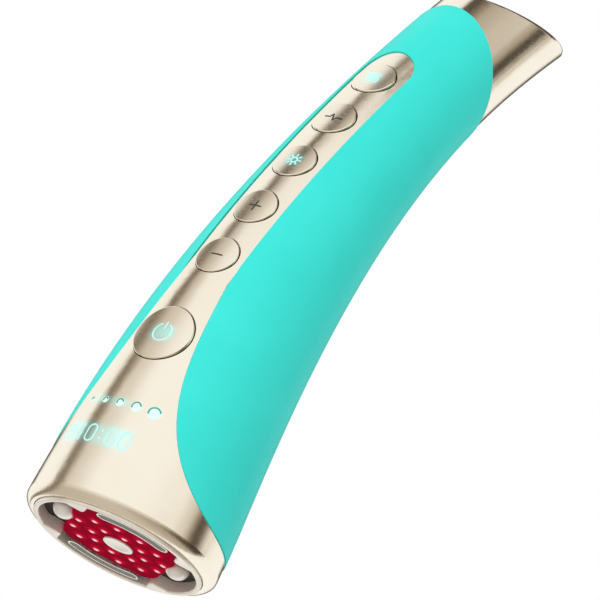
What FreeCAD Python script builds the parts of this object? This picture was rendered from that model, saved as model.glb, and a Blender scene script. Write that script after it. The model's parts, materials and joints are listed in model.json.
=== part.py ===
import FreeCAD, Part
import math
import os

# A hand-held light-therapy wand, in millimetres and degrees. It stands on its head: the origin is the centre
# of the head's rim, +Z runs up the handle to the tail, and the keys face -Y.
# A station is a distance along the handle's centreline from the rim.

# Outer form
HEAD_R = 24.5
TAIL_R = 14.25
TAPER_LENGTH = 161.2
TAPER_FULLNESS = 1.4
HEAD_STRAIGHT = 23.2
BEND_R = 278.0
RING_STEP = 13.0
HEAD_EDGE_R = 2.4
RIM_SETBACK = 0.8

# Shell walls
SKIN_STEP = 0.25
SHELL_WALL = 2.0
SEAM_GAP = 0.08
FRAME_FIT = 0.15
LIP_T = 0.9
LIP_GAP = 0.1
LIP_HEIGHT = 2.5
LIP_FRONT = 7.0

# Gold front: key strip, flare and ring
STRIP_HALF_WIDTH = 7.0
STRIP_END_AT = 138.9
FLARE_TOP_AT = 66.0
FLARE_BULGE = 11.3
FLARE_CORNER_RISE = 4.0
FLARE_PULL = 14.0
RING_HEIGHT = 7.2

# Tail
TAIL_JOINT_AT = 150.2
TAIL_JOINT_TILT = 32.0
TAIL_END_AT = 175.2
TAIL_END_TILT = -40.0
TAIL_STEP = 0.3
TAIL_WALL = 2.7
TAIL_EDGE_R = 1.0
COLLAR_LENGTH = 5.0
COLLAR_T = 1.4
COLLAR_GAP = 0.12
PLATE_RECESS = 0.8
PLATE_T = 1.2
LEDGE_T = 1.5
LEDGE_WIDTH = 1.2
WEB_AT = 158.2
WEB_T = 2.0
WIRE_HOLE_R = 2.2
WIRE_HOLE_Y = -6.5

# Charging port, in the plane of the tail's end
PORT_Y = -5.0
PORT_WIDTH = 8.94
PORT_HEIGHT = 3.26
PORT_DEPTH = 7.3
PORT_SHELL_T = 0.3
PORT_GAP = 0.12
TONGUE_WIDTH = 6.6
TONGUE_T = 0.7
TONGUE_BACK = 1.0
TONGUE_BACK_GAP = 0.15
TONGUE_SETBACK = 0.6
CHARGE_BOARD_X = 16.0
CHARGE_BOARD_Y = 12.0
CHARGE_BOARD_T = 1.0
CHARGE_SCREW_X = 6.4
CHARGE_BOSS_R = 1.5

# Keys
POWER_AT = 44.4
POWER_R = 7.6
FIRST_KEY_AT = 66.9
KEY_PITCH = 15.3
KEY_R = 5.35
KEY_NAMES = ("power", "minus", "plus", "light", "pulse", "heat")
KEY_GAP = 0.2
KEY_EDGE_R = 0.25
KEY_RISE = 0.25
KEY_FLATNESS = 1.6
KEY_TRAVEL = 0.4
CAP_DEPTH = 2.6
EAR_HALF_WIDTH = 2.0
EAR_REACH = 0.9
EAR_T = 0.8
EAR_GAP = 0.2
STEM_R = 1.6
STEM_DEPTH = 3.9
PLUNGER_R = 1.0
PLUNGER_GAP = 0.05
PLUNGER_ROOM = 0.27
SWITCH_SIZE = 5.0
SWITCH_H = 1.6
SWITCH_FLOOR = 0.4
BAND_SEAT = 0.03
KEY_BOARD_DEPTH = 6.0
PLUNGER_LENGTH = KEY_BOARD_DEPTH - BAND_SEAT - SWITCH_FLOOR - STEM_DEPTH - KEY_TRAVEL - PLUNGER_ROOM
KEY_BOARD_T = 0.8
KEY_BOARD_HALF_WIDTH = 6.2
KEY_BOARD_OVERHANG = 9.5
CARRIER_T = 1.2
BAND_POINTS = 9
BOSS_R = 1.7
BOSS_X = 4.5
BOSS_PILOT = 2.8

# Small screws
SCREW_R = 0.8
SCREW_HEAD_R = 1.3
SCREW_HEAD_H = 0.8
SCREW_GAP = 0.05
SCREW_CLEAR = 0.15
SCREW_TIP = 0.4

# Level lights and readout
LEVEL_AT = 26.1
LEVEL_COUNT = 5
LEVEL_PITCH = 4.5
LEVEL_FIRST_R = 0.6
LEVEL_GROWTH = 0.25
LEVEL_GAP = 0.05
LEVEL_BAR_H = 3.4
LEVEL_BAR_T = 0.9
LEVEL_WALL_GAP = 0.3
INDICATOR_SIZE = 1.6
INDICATOR_H = 0.6
DISPLAY_SETBACK = 7.9
DISPLAY_BOARD_Y = HEAD_R - DISPLAY_SETBACK
DISPLAY_BOARD_T = 1.0
DISPLAY_SIDE_GAP = 0.27
DISPLAY_BOARD_LOW = 11.8
DISPLAY_BOARD_HIGH = 29.8
READOUT_AT = 17.1
READOUT_MARGIN = 2.5
READOUT_HEIGHT = 6.4
READOUT_DEPTH = 1.8
DISPLAY_BOSS_INSET = 1.8
DISPLAY_BOSS_AT = 22.4
DISPLAY_BOSS_R = 1.4
DISPLAY_PILOT = 1.6

# Head, built up from the rim
HEAD_TURN = 45.0
BEZEL_T = 3.0
BEZEL_LAND = 3.2
BEZEL_R = HEAD_R - BEZEL_LAND
BEZEL_GAP = 0.2
BEZEL_EDGE_R = 0.35
BEZEL_WALL = 1.3
POCKET_R = BEZEL_R - BEZEL_WALL
PAD_REACH = 3.5
PAD_AT = (POCKET_R - PAD_REACH) / math.sqrt(2)
PAD_EDGE_R = 1.2
HEAD_PLATE_T = 1.2
GASKET_T = 0.4
GASKET_WIDTH = 3.5
SHELF_WIDTH = 3.7
SHELF_R = BEZEL_R - SHELF_WIDTH
SHELF_T = 1.4
RING_WALL_GAP = 0.4
RING_WALL_R = SHELF_R - RING_WALL_GAP
RING_WALL_T = 3.3
RING_WALL_IN_R = RING_WALL_R - RING_WALL_T
RING_WALL_H = 1.6
WINDOW_LIP = 0.7
WINDOW_R = RING_WALL_IN_R - WINDOW_LIP
HEAD_SCREW_INSET = 2.1
HEAD_SCREW_AT = BEZEL_R - HEAD_SCREW_INSET
HEAD_SCREW_LENGTH = 5.1
HEAD_SCREW_SINK = 0.9
DOME_R = 2.9
DOME_SIDE_GAP = 2.4
DOME_AT = POCKET_R - DOME_R - DOME_SIDE_GAP
DOME_TOP = 0.1
DOME_EDGE_R = 2.6
DOME_PEG_AT = RING_WALL_IN_R + RING_WALL_T / 2
DOME_PEG_R = 1.2
ARC_HALF_WIDTH = 1.75
ARC_SIDE_GAP = 1.35
ARC_AT = POCKET_R - ARC_SIDE_GAP - ARC_HALF_WIDTH
ARC_HALF_ANGLE = 26.0
ARC_TOP = 0.5
ARC_PEG_R = 0.8
ARC_PEG_INSET = 0.4
ARC_PEG_AT = RING_WALL_R - ARC_PEG_R - ARC_PEG_INSET
ARC_PEG_ANGLE = 18.0
CENTRE_R = 3.7
LENS_END_GAP = 7.6
LENS_HALF_X = POCKET_R - LENS_END_GAP
LENS_SET_IN = 2.2
LENS_HALF_Y = ARC_AT - LENS_SET_IN
LENS_CORNER_R = 6.5
LENS_TOP = 0.9
LENS_EDGE_R = 0.5
LENS_GAP = 0.25
LED_INNER_COUNT = 8
LED_INNER_STEP = 3.1
LED_INNER_R = CENTRE_R + LED_INNER_STEP
LED_OUTER_COUNT = 12
LED_OUTER_INSET = 1.0
LED_OUTER_R = LENS_HALF_X - LED_OUTER_INSET
LED_SIZE = 1.8
LED_H = 1.0
BUMP_SPHERE_R = 2.4
BUMP_HEIGHT = 0.4
LED_BOARD_GAP = 0.6
LED_BOARD_R = SHELF_R - LED_BOARD_GAP
LED_BOARD_T = 1.2
SPREADER_T = 1.6
SPREADER_SCREW_INSET = 1.5
SPREADER_SCREW_AT = LED_BOARD_R - SPREADER_SCREW_INSET
SPREADER_PILOT = 1.9
CENTRE_TOP = 0.6
CENTRE_DISH_R = 9.0
CENTRE_DISH_DEPTH = 0.4
CENTRE_PEG_R = 1.5
PEG_GAP = 0.05
SOCKET_INSET = 5.0
SOCKET_Y = SOCKET_INSET - LED_BOARD_R
SOCKET_WIDTH = 8.0
SOCKET_DEPTH = 3.0
SOCKET_H = 2.6
SOCKET_GAP = 0.3

# Battery, inner frame and main board, set out on the chord under the battery
CELL_FROM = 53.2
CELL_R = 9.2
CELL_LENGTH = 65.0
CELL_EDGE_R = 1.0
CELL_SETBACK = 2.0
CELL_GAP = 0.15
CELL_SIDE_GAP = 0.5
CELL_END_GAP = 0.2
FRAME_WALL = 1.2
FRAME_SIDE = 2.0
FRAME_WALL_FRONT = 5.0
BULKHEAD_AT = 19.2
BULKHEAD_T = 2.0
BULKHEAD_FRONT = 9.5
BULKHEAD_HOLE_R = 5.0
LEG_R = 1.5
POST_R = 2.2
TAIL_SCREW_R = 1.0
TAIL_SCREW_HEAD_R = 1.9
TAIL_SCREW_HEAD_H = 1.2
TAIL_SCREW_LENGTH = 9.0
RAIL_HEIGHT = 8.0
BOARD_T = 1.2
BOARD_FROM = -30.0
BOARD_TO = 48.0
BOARD_SCREW_X = 8.2
BOARD_SCREW_INSET = 4.0
BOARD_BOSS_R = 1.6
BOARD_BOSS_H = 3.0
BOARD_PILOT = 2.2
STRAP_T = 0.35
STRAP_GAP = 0.06
STRAP_WIDTH = 10.0
STRAP_AT = 24.0
CHIP_SIZE = 7.0
CHIP_H = 1.0
CHIP_AT = 12.0
INDUCTOR_SIZE = 6.0
INDUCTOR_H = 1.6
INDUCTOR_EDGE_R = 1.2
INDUCTOR_AT = 26.0
TRANSFORMER_WIDTH = 11.0
TRANSFORMER_LENGTH = 9.0
TRANSFORMER_H = 8.0
TRANSFORMER_COIL_R = 3.4
TRANSFORMER_BAR = 1.8
TRANSFORMER_AT = -12.0
CONNECTOR_WIDTH = 10.0
CONNECTOR_LENGTH = 4.0
CONNECTOR_H = 2.5
CONNECTOR_AT = -27.0
CELL_CONNECTOR_AT = -3.5
RIBBON_WIDTH = 7.0
RIBBON_T = 0.3
RIBBON_END_GAP = 0.1

V = FreeCAD.Vector
X_AXIS = V(1, 0, 0)
Y_AXIS = V(0, 1, 0)
Z_AXIS = V(0, 0, 1)
FAR = 6 * HEAD_R
NEAR = SEAM_GAP / 100
WALL_IN = SKIN_STEP + SHELL_WALL
TAIL_IN = TAIL_STEP + TAIL_WALL
LOFT_END = TAIL_END_AT + HEAD_R


# The centreline: straight out of the head, then one arc towards +Y


def lean(station):
    return max(0.0, station - HEAD_STRAIGHT) / BEND_R


def centre(station):
    angle = lean(station)
    rise = min(station, HEAD_STRAIGHT) + BEND_R * math.sin(angle)
    return V(0, BEND_R * (1 - math.cos(angle)), rise)


def leaning(point, degrees):
    """A frame at a point, with its Z leaned from +Z towards +Y and its -Y to the front."""
    return FreeCAD.Placement(point, FreeCAD.Rotation(X_AXIS, -degrees))


def station_frame(station, tilt=0.0):
    return leaning(centre(station), math.degrees(lean(station)) + tilt)


def outer_r(station):
    share = min(station / TAPER_LENGTH, 1.0)
    return TAIL_R + (HEAD_R - TAIL_R) * (1 - share) ** 2 * (1 + TAPER_FULLNESS * share)


def taper_slope(station):
    """How fast the front line closes on the centreline, as an angle."""
    share = min(station / TAPER_LENGTH, 1.0)
    rate = (1 - share) * (TAPER_FULLNESS * (1 - share) - 2 * (1 + TAPER_FULLNESS * share))
    stretch = 1 + outer_r(station) / BEND_R
    return math.atan(-rate * (HEAD_R - TAIL_R) / TAPER_LENGTH / stretch)


def front_frame(station):
    """A frame on the gold front's surface: Z out of the surface, Y towards the tail."""
    frame = station_frame(station)
    point = frame.multVec(V(0, SKIN_STEP - outer_r(station), 0))
    turn = 90 - math.degrees(lean(station) + taper_slope(station))
    return FreeCAD.Placement(point, FreeCAD.Rotation(X_AXIS, turn))


# Plain shapes


def placed(shape, frame):
    shape.Placement = frame.multiply(shape.Placement)
    return shape


def rod(radius, low, high, x=0.0, y=0.0):
    return Part.makeCylinder(radius, high - low, V(x, y, low))


def block(low, high):
    size = V(*high) - V(*low)
    return Part.makeBox(size.x, size.y, size.z, V(*low))


def bar(width, depth, low, high, x=0.0, y=0.0):
    """An upright block, centred on x and y."""
    return block((x - width / 2, y - depth / 2, low), (x + width / 2, y + depth / 2, high))


def fused(shapes):
    first = shapes[0]
    return first.fuse(list(shapes[1:])).removeSplitter() if len(shapes) > 1 else first


def above(frame):
    return placed(bar(2 * FAR, 2 * FAR, 0, 2 * FAR), frame)


def slab(frame, low, high):
    return placed(bar(2 * FAR, 2 * FAR, low, high), frame)


def swept(inset, low, high):
    """The handle's round form from one station to another, drawn in by an inset."""
    count = math.ceil((high - low) / RING_STEP)
    rings = []
    for i in range(count + 1):
        station = low + (high - low) * i / count
        ring = Part.makeCircle(outer_r(station) - inset)
        rings.append(Part.Wire([placed(ring, station_frame(station))]))
    return Part.makeLoft(rings, True, False)


def edges_at(shape, height):
    """The shape's edges that lie flat at one height."""
    flat = []
    for edge in shape.Edges:
        box = edge.BoundBox
        if abs(box.ZMin - height) < NEAR and abs(box.ZMax - height) < NEAR:
            flat.append(edge)
    return flat


def screw(shank_r, length, head_r, head_h):
    """A pan-head screw, its head's seat at z = 0 and its shank running down from there."""
    return fused([rod(head_r, 0, head_h), rod(shank_r, -length, SCREW_TIP / 2)])


def save(name, shape):
    shape.exportStep(os.path.join("parts", name + ".step"))


os.makedirs("parts", exist_ok=True)


# What belongs to the gold front: a ring at the head, a flare and the key strip


def strip_block(grow):
    half = STRIP_HALF_WIDTH + grow
    turn_at = STRIP_END_AT - STRIP_HALF_WIDTH
    foot = bar(2 * half, FAR, 0, HEAD_STRAIGHT, 0, -FAR / 2)
    section = Part.makePlane(2 * half, FAR, V(-half, -FAR, HEAD_STRAIGHT))
    bent = section.revolve(V(0, BEND_R, HEAD_STRAIGHT), -X_AXIS, math.degrees(lean(turn_at)))
    end = Part.makeCylinder(half, FAR, V(0, 0, 0), -Y_AXIS)
    return fused([foot, bent, placed(end, station_frame(turn_at))])


def flare_block(grow):
    across = math.sqrt(outer_r(FLARE_TOP_AT) ** 2 - STRIP_HALF_WIDTH ** 2)
    top = station_frame(FLARE_TOP_AT).multVec(V(0, -across, 0)) + V(0, grow, grow)
    ring = RING_HEIGHT + grow
    back = V(0, HEAD_R, ring)
    edge = Part.BezierCurve()
    pull_down = V(0, top.y - FLARE_BULGE, ring + FLARE_CORNER_RISE)
    edge.setPoles([top, pull_down, V(0, -FLARE_PULL, ring), back])
    corners = [back, V(0, FAR, ring), V(0, FAR, -FAR), V(0, -FAR, -FAR), V(0, -FAR, top.z), top]
    outline = Part.Wire([edge.toShape()] + Part.makePolygon(corners).Edges)
    side = Part.Face(outline)
    side.translate(V(-FAR / 2, 0, 0))
    return side.extrude(V(FAR, 0, 0))


# Keys: where they sit and what they share

key_stations = [POWER_AT] + [FIRST_KEY_AT + KEY_PITCH * i for i in range(len(KEY_NAMES) - 1)]
key_radii = [POWER_R] + [KEY_R] * (len(KEY_NAMES) - 1)
boss_stations = [(key_stations[i] + key_stations[i + 1]) / 2 for i in range(0, len(KEY_NAMES), 2)]
boss_places = [(station, side * BOSS_X) for station in boss_stations for side in (-1, 1)]


def front_band(near, far, half_width):
    """A strip that runs under the keys between two depths below the gold surface."""
    low = key_stations[0] - KEY_BOARD_OVERHANG
    high = key_stations[-1] + KEY_BOARD_OVERHANG
    stations = [low + (high - low) * i / (BAND_POINTS - 1) for i in range(BAND_POINTS)]
    edges = []
    ends = []
    for depth in (near, far):
        points = [front_frame(station).multVec(V(0, 0, -depth)) for station in stations]
        curve = Part.BSplineCurve()
        curve.interpolate(points)
        edges.append(curve.toShape())
        ends.append((points[0], points[-1]))
    edges.append(Part.makeLine(ends[0][0], ends[1][0]))
    edges.append(Part.makeLine(ends[0][1], ends[1][1]))
    side = Part.Face(Part.Wire(Part.__sortEdges__(edges)))
    side.translate(V(-half_width, 0, 0))
    return side.extrude(V(2 * half_width, 0, 0))


carrier_low = KEY_BOARD_DEPTH + KEY_BOARD_T
carrier_back = carrier_low + CARRIER_T

# Head levels, from the rim inwards

plate_top = BEZEL_T + HEAD_PLATE_T
shelf_low = plate_top + GASKET_T
shelf_top = shelf_low + SHELF_T
board_low = plate_top + RING_WALL_H
board_top = board_low + LED_BOARD_T
spreader_top = board_top + SPREADER_T
head_frame = FreeCAD.Placement(V(0, 0, 0), FreeCAD.Rotation(Z_AXIS, HEAD_TURN))
corner_angles = [45 + 90 * i for i in range(4)]


def spun(radius, degrees):
    angle = math.radians(degrees)
    return radius * math.cos(angle), radius * math.sin(angle)


def ring_of(radius, count, offset):
    return [spun(radius, 360 * i / count + offset) for i in range(count)]


led_places = ring_of(LED_INNER_R, LED_INNER_COUNT, 0)
led_places += ring_of(LED_OUTER_R, LED_OUTER_COUNT, 180 / LED_OUTER_COUNT)
head_screw_places = [spun(HEAD_SCREW_AT, angle) for angle in corner_angles]
spreader_screw_places = [spun(SPREADER_SCREW_AT, angle) for angle in corner_angles]


def arc_band(side, grow, low, high):
    """A round-ended arc across the head's second axis."""
    inner = ARC_AT - ARC_HALF_WIDTH - grow
    outer = ARC_AT + ARC_HALF_WIDTH + grow
    middle = 90 * side
    start = middle - ARC_HALF_ANGLE
    end = middle + ARC_HALF_ANGLE
    cap = math.degrees((ARC_HALF_WIDTH + grow) / ARC_AT)

    def at(radius, degrees):
        return V(*spun(radius, degrees), low)

    edges = [
        Part.Arc(at(outer, start), at(outer, middle), at(outer, end)).toShape(),
        Part.Arc(at(outer, end), at(ARC_AT, end + cap), at(inner, end)).toShape(),
        Part.Arc(at(inner, end), at(inner, middle), at(inner, start)).toShape(),
        Part.Arc(at(inner, start), at(ARC_AT, start - cap), at(outer, start)).toShape(),
    ]
    return Part.Face(Part.Wire(edges)).extrude(V(0, 0, high - low))


def arc_pegs(side, gap, low, high):
    angles = [90 * side + sign * ARC_PEG_ANGLE for sign in (-1, 1)]
    return [rod(ARC_PEG_R + gap, low, high, *spun(ARC_PEG_AT, angle)) for angle in angles]


# Front housing

gold = swept(SKIN_STEP, RIM_SETBACK, STRIP_END_AT + HEAD_R)
gold = gold.makeFillet(HEAD_EDGE_R, edges_at(gold, RIM_SETBACK))
front_zone = strip_block(0).fuse(flare_block(0))
cavity = swept(WALL_IN, shelf_top, LOFT_END)
housing = gold.cut([cavity, rod(BEZEL_R + BEZEL_GAP, 0, shelf_low), rod(SHELF_R, 0, shelf_top)])
housing = housing.common(front_zone)

lip_outer = swept(WALL_IN + LIP_GAP, shelf_low, shelf_top + LIP_HEIGHT)
lip = lip_outer.cut(swept(WALL_IN + LIP_GAP + LIP_T, shelf_low, shelf_top + LIP_HEIGHT))
lip = lip.common(block((-FAR, -LIP_FRONT, 0), (FAR, FAR, FAR)))

half_wall = swept(SKIN_STEP + SHELL_WALL / 2, RIM_SETBACK, STRIP_END_AT + HEAD_R)
bosses = []
housing_holes = []
display_room = outer_r(DISPLAY_BOARD_HIGH) - WALL_IN
display_half = math.sqrt(display_room ** 2 - DISPLAY_BOARD_Y ** 2) - DISPLAY_SIDE_GAP
display_boss_x = display_half - DISPLAY_BOSS_INSET
for station, side_x in boss_places:
    frame = front_frame(station)
    bosses.append(placed(rod(BOSS_R, -KEY_BOARD_DEPTH, 0, side_x), frame).common(half_wall))
    pilot = rod(SCREW_R + SCREW_GAP, -KEY_BOARD_DEPTH, BOSS_PILOT - KEY_BOARD_DEPTH, side_x)
    housing_holes.append(placed(pilot, frame))
for side in (-1, 1):
    boss = Part.makeCylinder(DISPLAY_BOSS_R, HEAD_R, V(0, 0, 0), -Y_AXIS)
    pilot = Part.makeCylinder(SCREW_R + SCREW_GAP, DISPLAY_PILOT, V(0, 0, 0), -Y_AXIS)
    spot = FreeCAD.Placement(V(side * display_boss_x, -DISPLAY_BOARD_Y, DISPLAY_BOSS_AT), FreeCAD.Rotation())
    bosses.append(placed(boss, spot).common(half_wall))
    housing_holes.append(placed(pilot, spot))
key_holes = []
for station, radius in zip(key_stations, key_radii):
    hole = rod(radius + KEY_GAP, -KEY_BOARD_DEPTH, CAP_DEPTH)
    key_holes.append(placed(hole, front_frame(station)))
for x, y in head_screw_places:
    housing_holes.append(placed(rod(SCREW_R + SCREW_CLEAR, shelf_low, shelf_top, x, y), head_frame))


def level_rod(index, gap, back):
    radius = LEVEL_FIRST_R + LEVEL_GROWTH * index + gap
    x = (index - (LEVEL_COUNT - 1) / 2) * LEVEL_PITCH
    return Part.makeCylinder(radius, FAR, V(x, -back, LEVEL_AT), -Y_AXIS)


bar_back = DISPLAY_BOARD_Y + INDICATOR_H
rod_foot = bar_back + LEVEL_BAR_T / 2
front_holes = key_holes + [level_rod(i, LEVEL_GAP, rod_foot) for i in range(LEVEL_COUNT)]
front_housing = housing.fuse(bosses + [lip]).cut(housing_holes + front_holes)
save("front_housing", front_housing)

# Grip shell

joint_frame = station_frame(TAIL_JOINT_AT, TAIL_JOINT_TILT)
end_frame = station_frame(TAIL_END_AT, TAIL_END_TILT)
grip = swept(0, RING_HEIGHT, LOFT_END).cut(swept(WALL_IN, 0, LOFT_END))
grip_shell = grip.cut([strip_block(SEAM_GAP), flare_block(SEAM_GAP), above(joint_frame)] + front_holes)
save("grip_shell", grip_shell)

# Tail cap, with a collar inside the grip shell, a ledge for its plate and a web for its screw

cap_low = TAIL_JOINT_AT - HEAD_R
cap = swept(TAIL_STEP, cap_low, LOFT_END).common(above(joint_frame)).cut(above(end_frame))
rim_edges = [e for e in cap.Edges if abs(end_frame.inverse().multVec(e.CenterOfMass).z) < SEAM_GAP]
cap = cap.makeFillet(TAIL_EDGE_R, rim_edges)
cap = cap.cut(swept(TAIL_IN, cap_low, LOFT_END))
collar_frame = FreeCAD.Placement(joint_frame.multVec(V(0, 0, -COLLAR_LENGTH)), joint_frame.Rotation)
collar_in = WALL_IN + COLLAR_GAP
collar = swept(collar_in, cap_low, LOFT_END).cut(swept(collar_in + COLLAR_T, cap_low, LOFT_END))
collar = collar.common(above(collar_frame)).cut(slab(joint_frame, COLLAR_LENGTH, FAR))
inside = swept((collar_in + TAIL_IN) / 2, cap_low, LOFT_END)
plate_low = -PLATE_RECESS - PLATE_T
ledge = inside.common(slab(end_frame, plate_low - LEDGE_T, plate_low))
ledge = ledge.cut(swept(TAIL_IN + LEDGE_WIDTH, cap_low, LOFT_END))
post_run = centre(WEB_AT) - centre(CELL_FROM + CELL_LENGTH)
web_frame = leaning(centre(WEB_AT), math.degrees(math.atan2(post_run.y, post_run.z)))
web = inside.common(slab(web_frame, 0, WEB_T))
port_low = plate_low + PLATE_T - PORT_DEPTH
charge_board_low = port_low - CHARGE_BOARD_T
charge_bosses = []
tail_holes = [placed(rod(TAIL_SCREW_R + SCREW_CLEAR, 0, WEB_T), web_frame)]
tail_holes.append(placed(rod(WIRE_HOLE_R, 0, WEB_T, 0, WIRE_HOLE_Y), web_frame))
for side in (-1, 1):
    x = side * CHARGE_SCREW_X
    boss = placed(rod(CHARGE_BOSS_R, -FAR, charge_board_low, x, PORT_Y), end_frame)
    charge_bosses.append(boss.common(above(web_frame)))
    pilot = rod(SCREW_R + SCREW_GAP, charge_board_low - BOSS_PILOT, charge_board_low, x, PORT_Y)
    tail_holes.append(placed(pilot, end_frame))
tail_cap = cap.fuse([collar, ledge, web] + charge_bosses).cut(tail_holes)
save("tail_cap", tail_cap)


def port_form(grow, low, high):
    """The charging port's flat round-ended outline."""
    width = PORT_WIDTH + 2 * grow
    height = PORT_HEIGHT + 2 * grow
    form = bar(width - height, height, low, high, 0, PORT_Y)
    ends = [rod(height / 2, low, high, side * (width - height) / 2, PORT_Y) for side in (-1, 1)]
    return fused([form] + ends)


tail_plate = swept(TAIL_IN + COLLAR_GAP, cap_low, LOFT_END)
tail_plate = tail_plate.common(slab(end_frame, plate_low, -PLATE_RECESS))
tail_plate = tail_plate.cut(placed(port_form(PORT_GAP, -FAR, FAR), end_frame))
save("tail_plate", tail_plate)

port_top = port_low + PORT_DEPTH
port = port_form(0, port_low, port_top).cut(port_form(-PORT_SHELL_T, port_low + PORT_SHELL_T, FAR))
save("charge_port", placed(port, end_frame))
tongue = bar(TONGUE_WIDTH, TONGUE_T, port_low + PORT_SHELL_T, port_top - TONGUE_SETBACK, 0, PORT_Y)
tongue_back_h = PORT_HEIGHT - 2 * (PORT_SHELL_T + TONGUE_BACK_GAP)
tongue_back = bar(TONGUE_WIDTH, tongue_back_h, port_low + PORT_SHELL_T,
                  port_low + PORT_SHELL_T + TONGUE_BACK, 0, PORT_Y)
save("charge_tongue", placed(fused([tongue, tongue_back]), end_frame))

charge_board = bar(CHARGE_BOARD_X, CHARGE_BOARD_Y, charge_board_low, port_low, 0, PORT_Y)
charge_screws = []
for side in (-1, 1):
    x = side * CHARGE_SCREW_X
    charge_board = charge_board.cut(rod(SCREW_R + SCREW_CLEAR, charge_board_low, port_low, x, PORT_Y))
    seat = FreeCAD.Placement(V(x, PORT_Y, port_low), FreeCAD.Rotation())
    reach = CHARGE_BOARD_T + BOSS_PILOT - SCREW_TIP
    charge_screws.append(placed(screw(SCREW_R, reach, SCREW_HEAD_R, SCREW_HEAD_H), seat))
save("charge_board", placed(charge_board, end_frame))
save("charge_screws", placed(Part.makeCompound(charge_screws), end_frame))

# Head: bezel, gasket, carrier, lens, electrodes, LED board and heat spreader

pads = []
for turn in range(4):
    pad = block((PAD_AT, PAD_AT, 0), (HEAD_R, HEAD_R, BEZEL_T))
    corner = [e for e in pad.Edges if max(e.BoundBox.XMax, e.BoundBox.YMax) < PAD_AT + NEAR]
    pad = pad.makeFillet(PAD_EDGE_R, corner)
    pad.rotate(V(0, 0, 0), Z_AXIS, 90 * turn)
    pads.append(pad.common(rod(BEZEL_R, 0, BEZEL_T)))
bezel = fused([rod(BEZEL_R, 0, BEZEL_T).cut(rod(POCKET_R, 0, BEZEL_T))] + pads)
bezel = bezel.makeFillet(BEZEL_EDGE_R, edges_at(bezel, 0))
save("head_bezel", placed(bezel, head_frame))

carrier = fused([rod(BEZEL_R, BEZEL_T, plate_top), rod(RING_WALL_R, BEZEL_T, board_low)])
carrier_holes = [rod(WINDOW_R, BEZEL_T, plate_top), rod(RING_WALL_IN_R, plate_top, board_low)]
for x, y in head_screw_places:
    carrier_holes.append(rod(SCREW_R + SCREW_CLEAR, BEZEL_T, plate_top, x, y))
    carrier_holes.append(rod(SCREW_HEAD_R + SCREW_CLEAR, BEZEL_T, BEZEL_T + HEAD_SCREW_SINK, x, y))
for x, y in spreader_screw_places:
    carrier_holes.append(rod(SCREW_R + SCREW_GAP, board_low - SPREADER_PILOT, board_low, x, y))
for side in (-1, 1):
    carrier_holes.append(rod(DOME_PEG_R + PEG_GAP, BEZEL_T, board_low, side * DOME_PEG_AT))
    carrier_holes += arc_pegs(side, PEG_GAP, BEZEL_T, board_low)
save("electrode_carrier", placed(carrier.cut(carrier_holes), head_frame))

gasket = rod(BEZEL_R, plate_top, shelf_low).cut(rod(BEZEL_R - GASKET_WIDTH, plate_top, shelf_low))
gasket = gasket.cut([rod(SCREW_R + SCREW_CLEAR, plate_top, shelf_low, x, y) for x, y in head_screw_places])
save("head_gasket", placed(gasket, head_frame))

head_screws = []
for x, y in head_screw_places:
    piece = screw(SCREW_R, HEAD_SCREW_LENGTH, SCREW_HEAD_R, SCREW_HEAD_H)
    piece.rotate(V(0, 0, 0), X_AXIS, 180)
    piece.translate(V(x, y, BEZEL_T + HEAD_SCREW_SINK))
    head_screws.append(piece)
save("head_screws", placed(Part.makeCompound(head_screws), head_frame))

lens = bar(2 * LENS_HALF_X, 2 * LENS_HALF_Y, LENS_TOP, BEZEL_T)
upright = [e for e in lens.Edges if e.BoundBox.ZLength > LENS_EDGE_R]
lens = lens.makeFillet(LENS_CORNER_R, upright)
lens = lens.makeFillet(LENS_EDGE_R, edges_at(lens, LENS_TOP))
bumps = []
for x, y in led_places:
    ball = Part.makeSphere(BUMP_SPHERE_R, V(x, y, LENS_TOP - BUMP_HEIGHT + BUMP_SPHERE_R))
    at_edge = math.hypot(x, y) > (LED_INNER_R + LED_OUTER_R) / 2
    bumps.append(ball.common(bar(FAR, FAR, 0, BEZEL_T if at_edge else (LENS_TOP + BEZEL_T) / 2)))
lens = lens.fuse(bumps)
for side in (-1, 1):
    dome_room = rod(DOME_R + LENS_GAP, 0, BEZEL_T, side * DOME_AT)
    lens = lens.cut([arc_band(side, LENS_GAP, 0, BEZEL_T), dome_room])
lens = lens.cut(rod(CENTRE_R + PEG_GAP, 0, BEZEL_T))
save("led_lens", placed(lens, head_frame))

for number, side in enumerate((-1, 1), 1):
    dome = rod(DOME_R, DOME_TOP, BEZEL_T, side * DOME_AT)
    dome = dome.makeFillet(DOME_EDGE_R, edges_at(dome, DOME_TOP))
    dome = dome.fuse(rod(DOME_PEG_R, BEZEL_T, board_low, side * DOME_PEG_AT))
    save("dome_electrode_" + str(number), placed(dome, head_frame))
    arc = arc_band(side, 0, ARC_TOP, BEZEL_T).fuse(arc_pegs(side, 0, BEZEL_T, board_low))
    save("arc_electrode_" + str(number), placed(arc, head_frame))

contact = rod(CENTRE_R, CENTRE_TOP, BEZEL_T).fuse(rod(CENTRE_PEG_R, BEZEL_T, board_low))
contact = contact.cut(Part.makeSphere(CENTRE_DISH_R, V(0, 0, CENTRE_TOP + CENTRE_DISH_DEPTH - CENTRE_DISH_R)))
save("centre_electrode", placed(contact, head_frame))

led_board = rod(LED_BOARD_R, board_low, board_top)
spreader = rod(LED_BOARD_R, board_top, spreader_top)
screw_holes = [rod(SCREW_R + SCREW_CLEAR, board_low, spreader_top, x, y) for x, y in spreader_screw_places]
save("led_board", placed(led_board.cut(screw_holes), head_frame))
leds = [bar(LED_SIZE, LED_SIZE, board_low - LED_H, board_low, x, y) for x, y in led_places]
save("leds", placed(Part.makeCompound(leds), head_frame))

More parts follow.
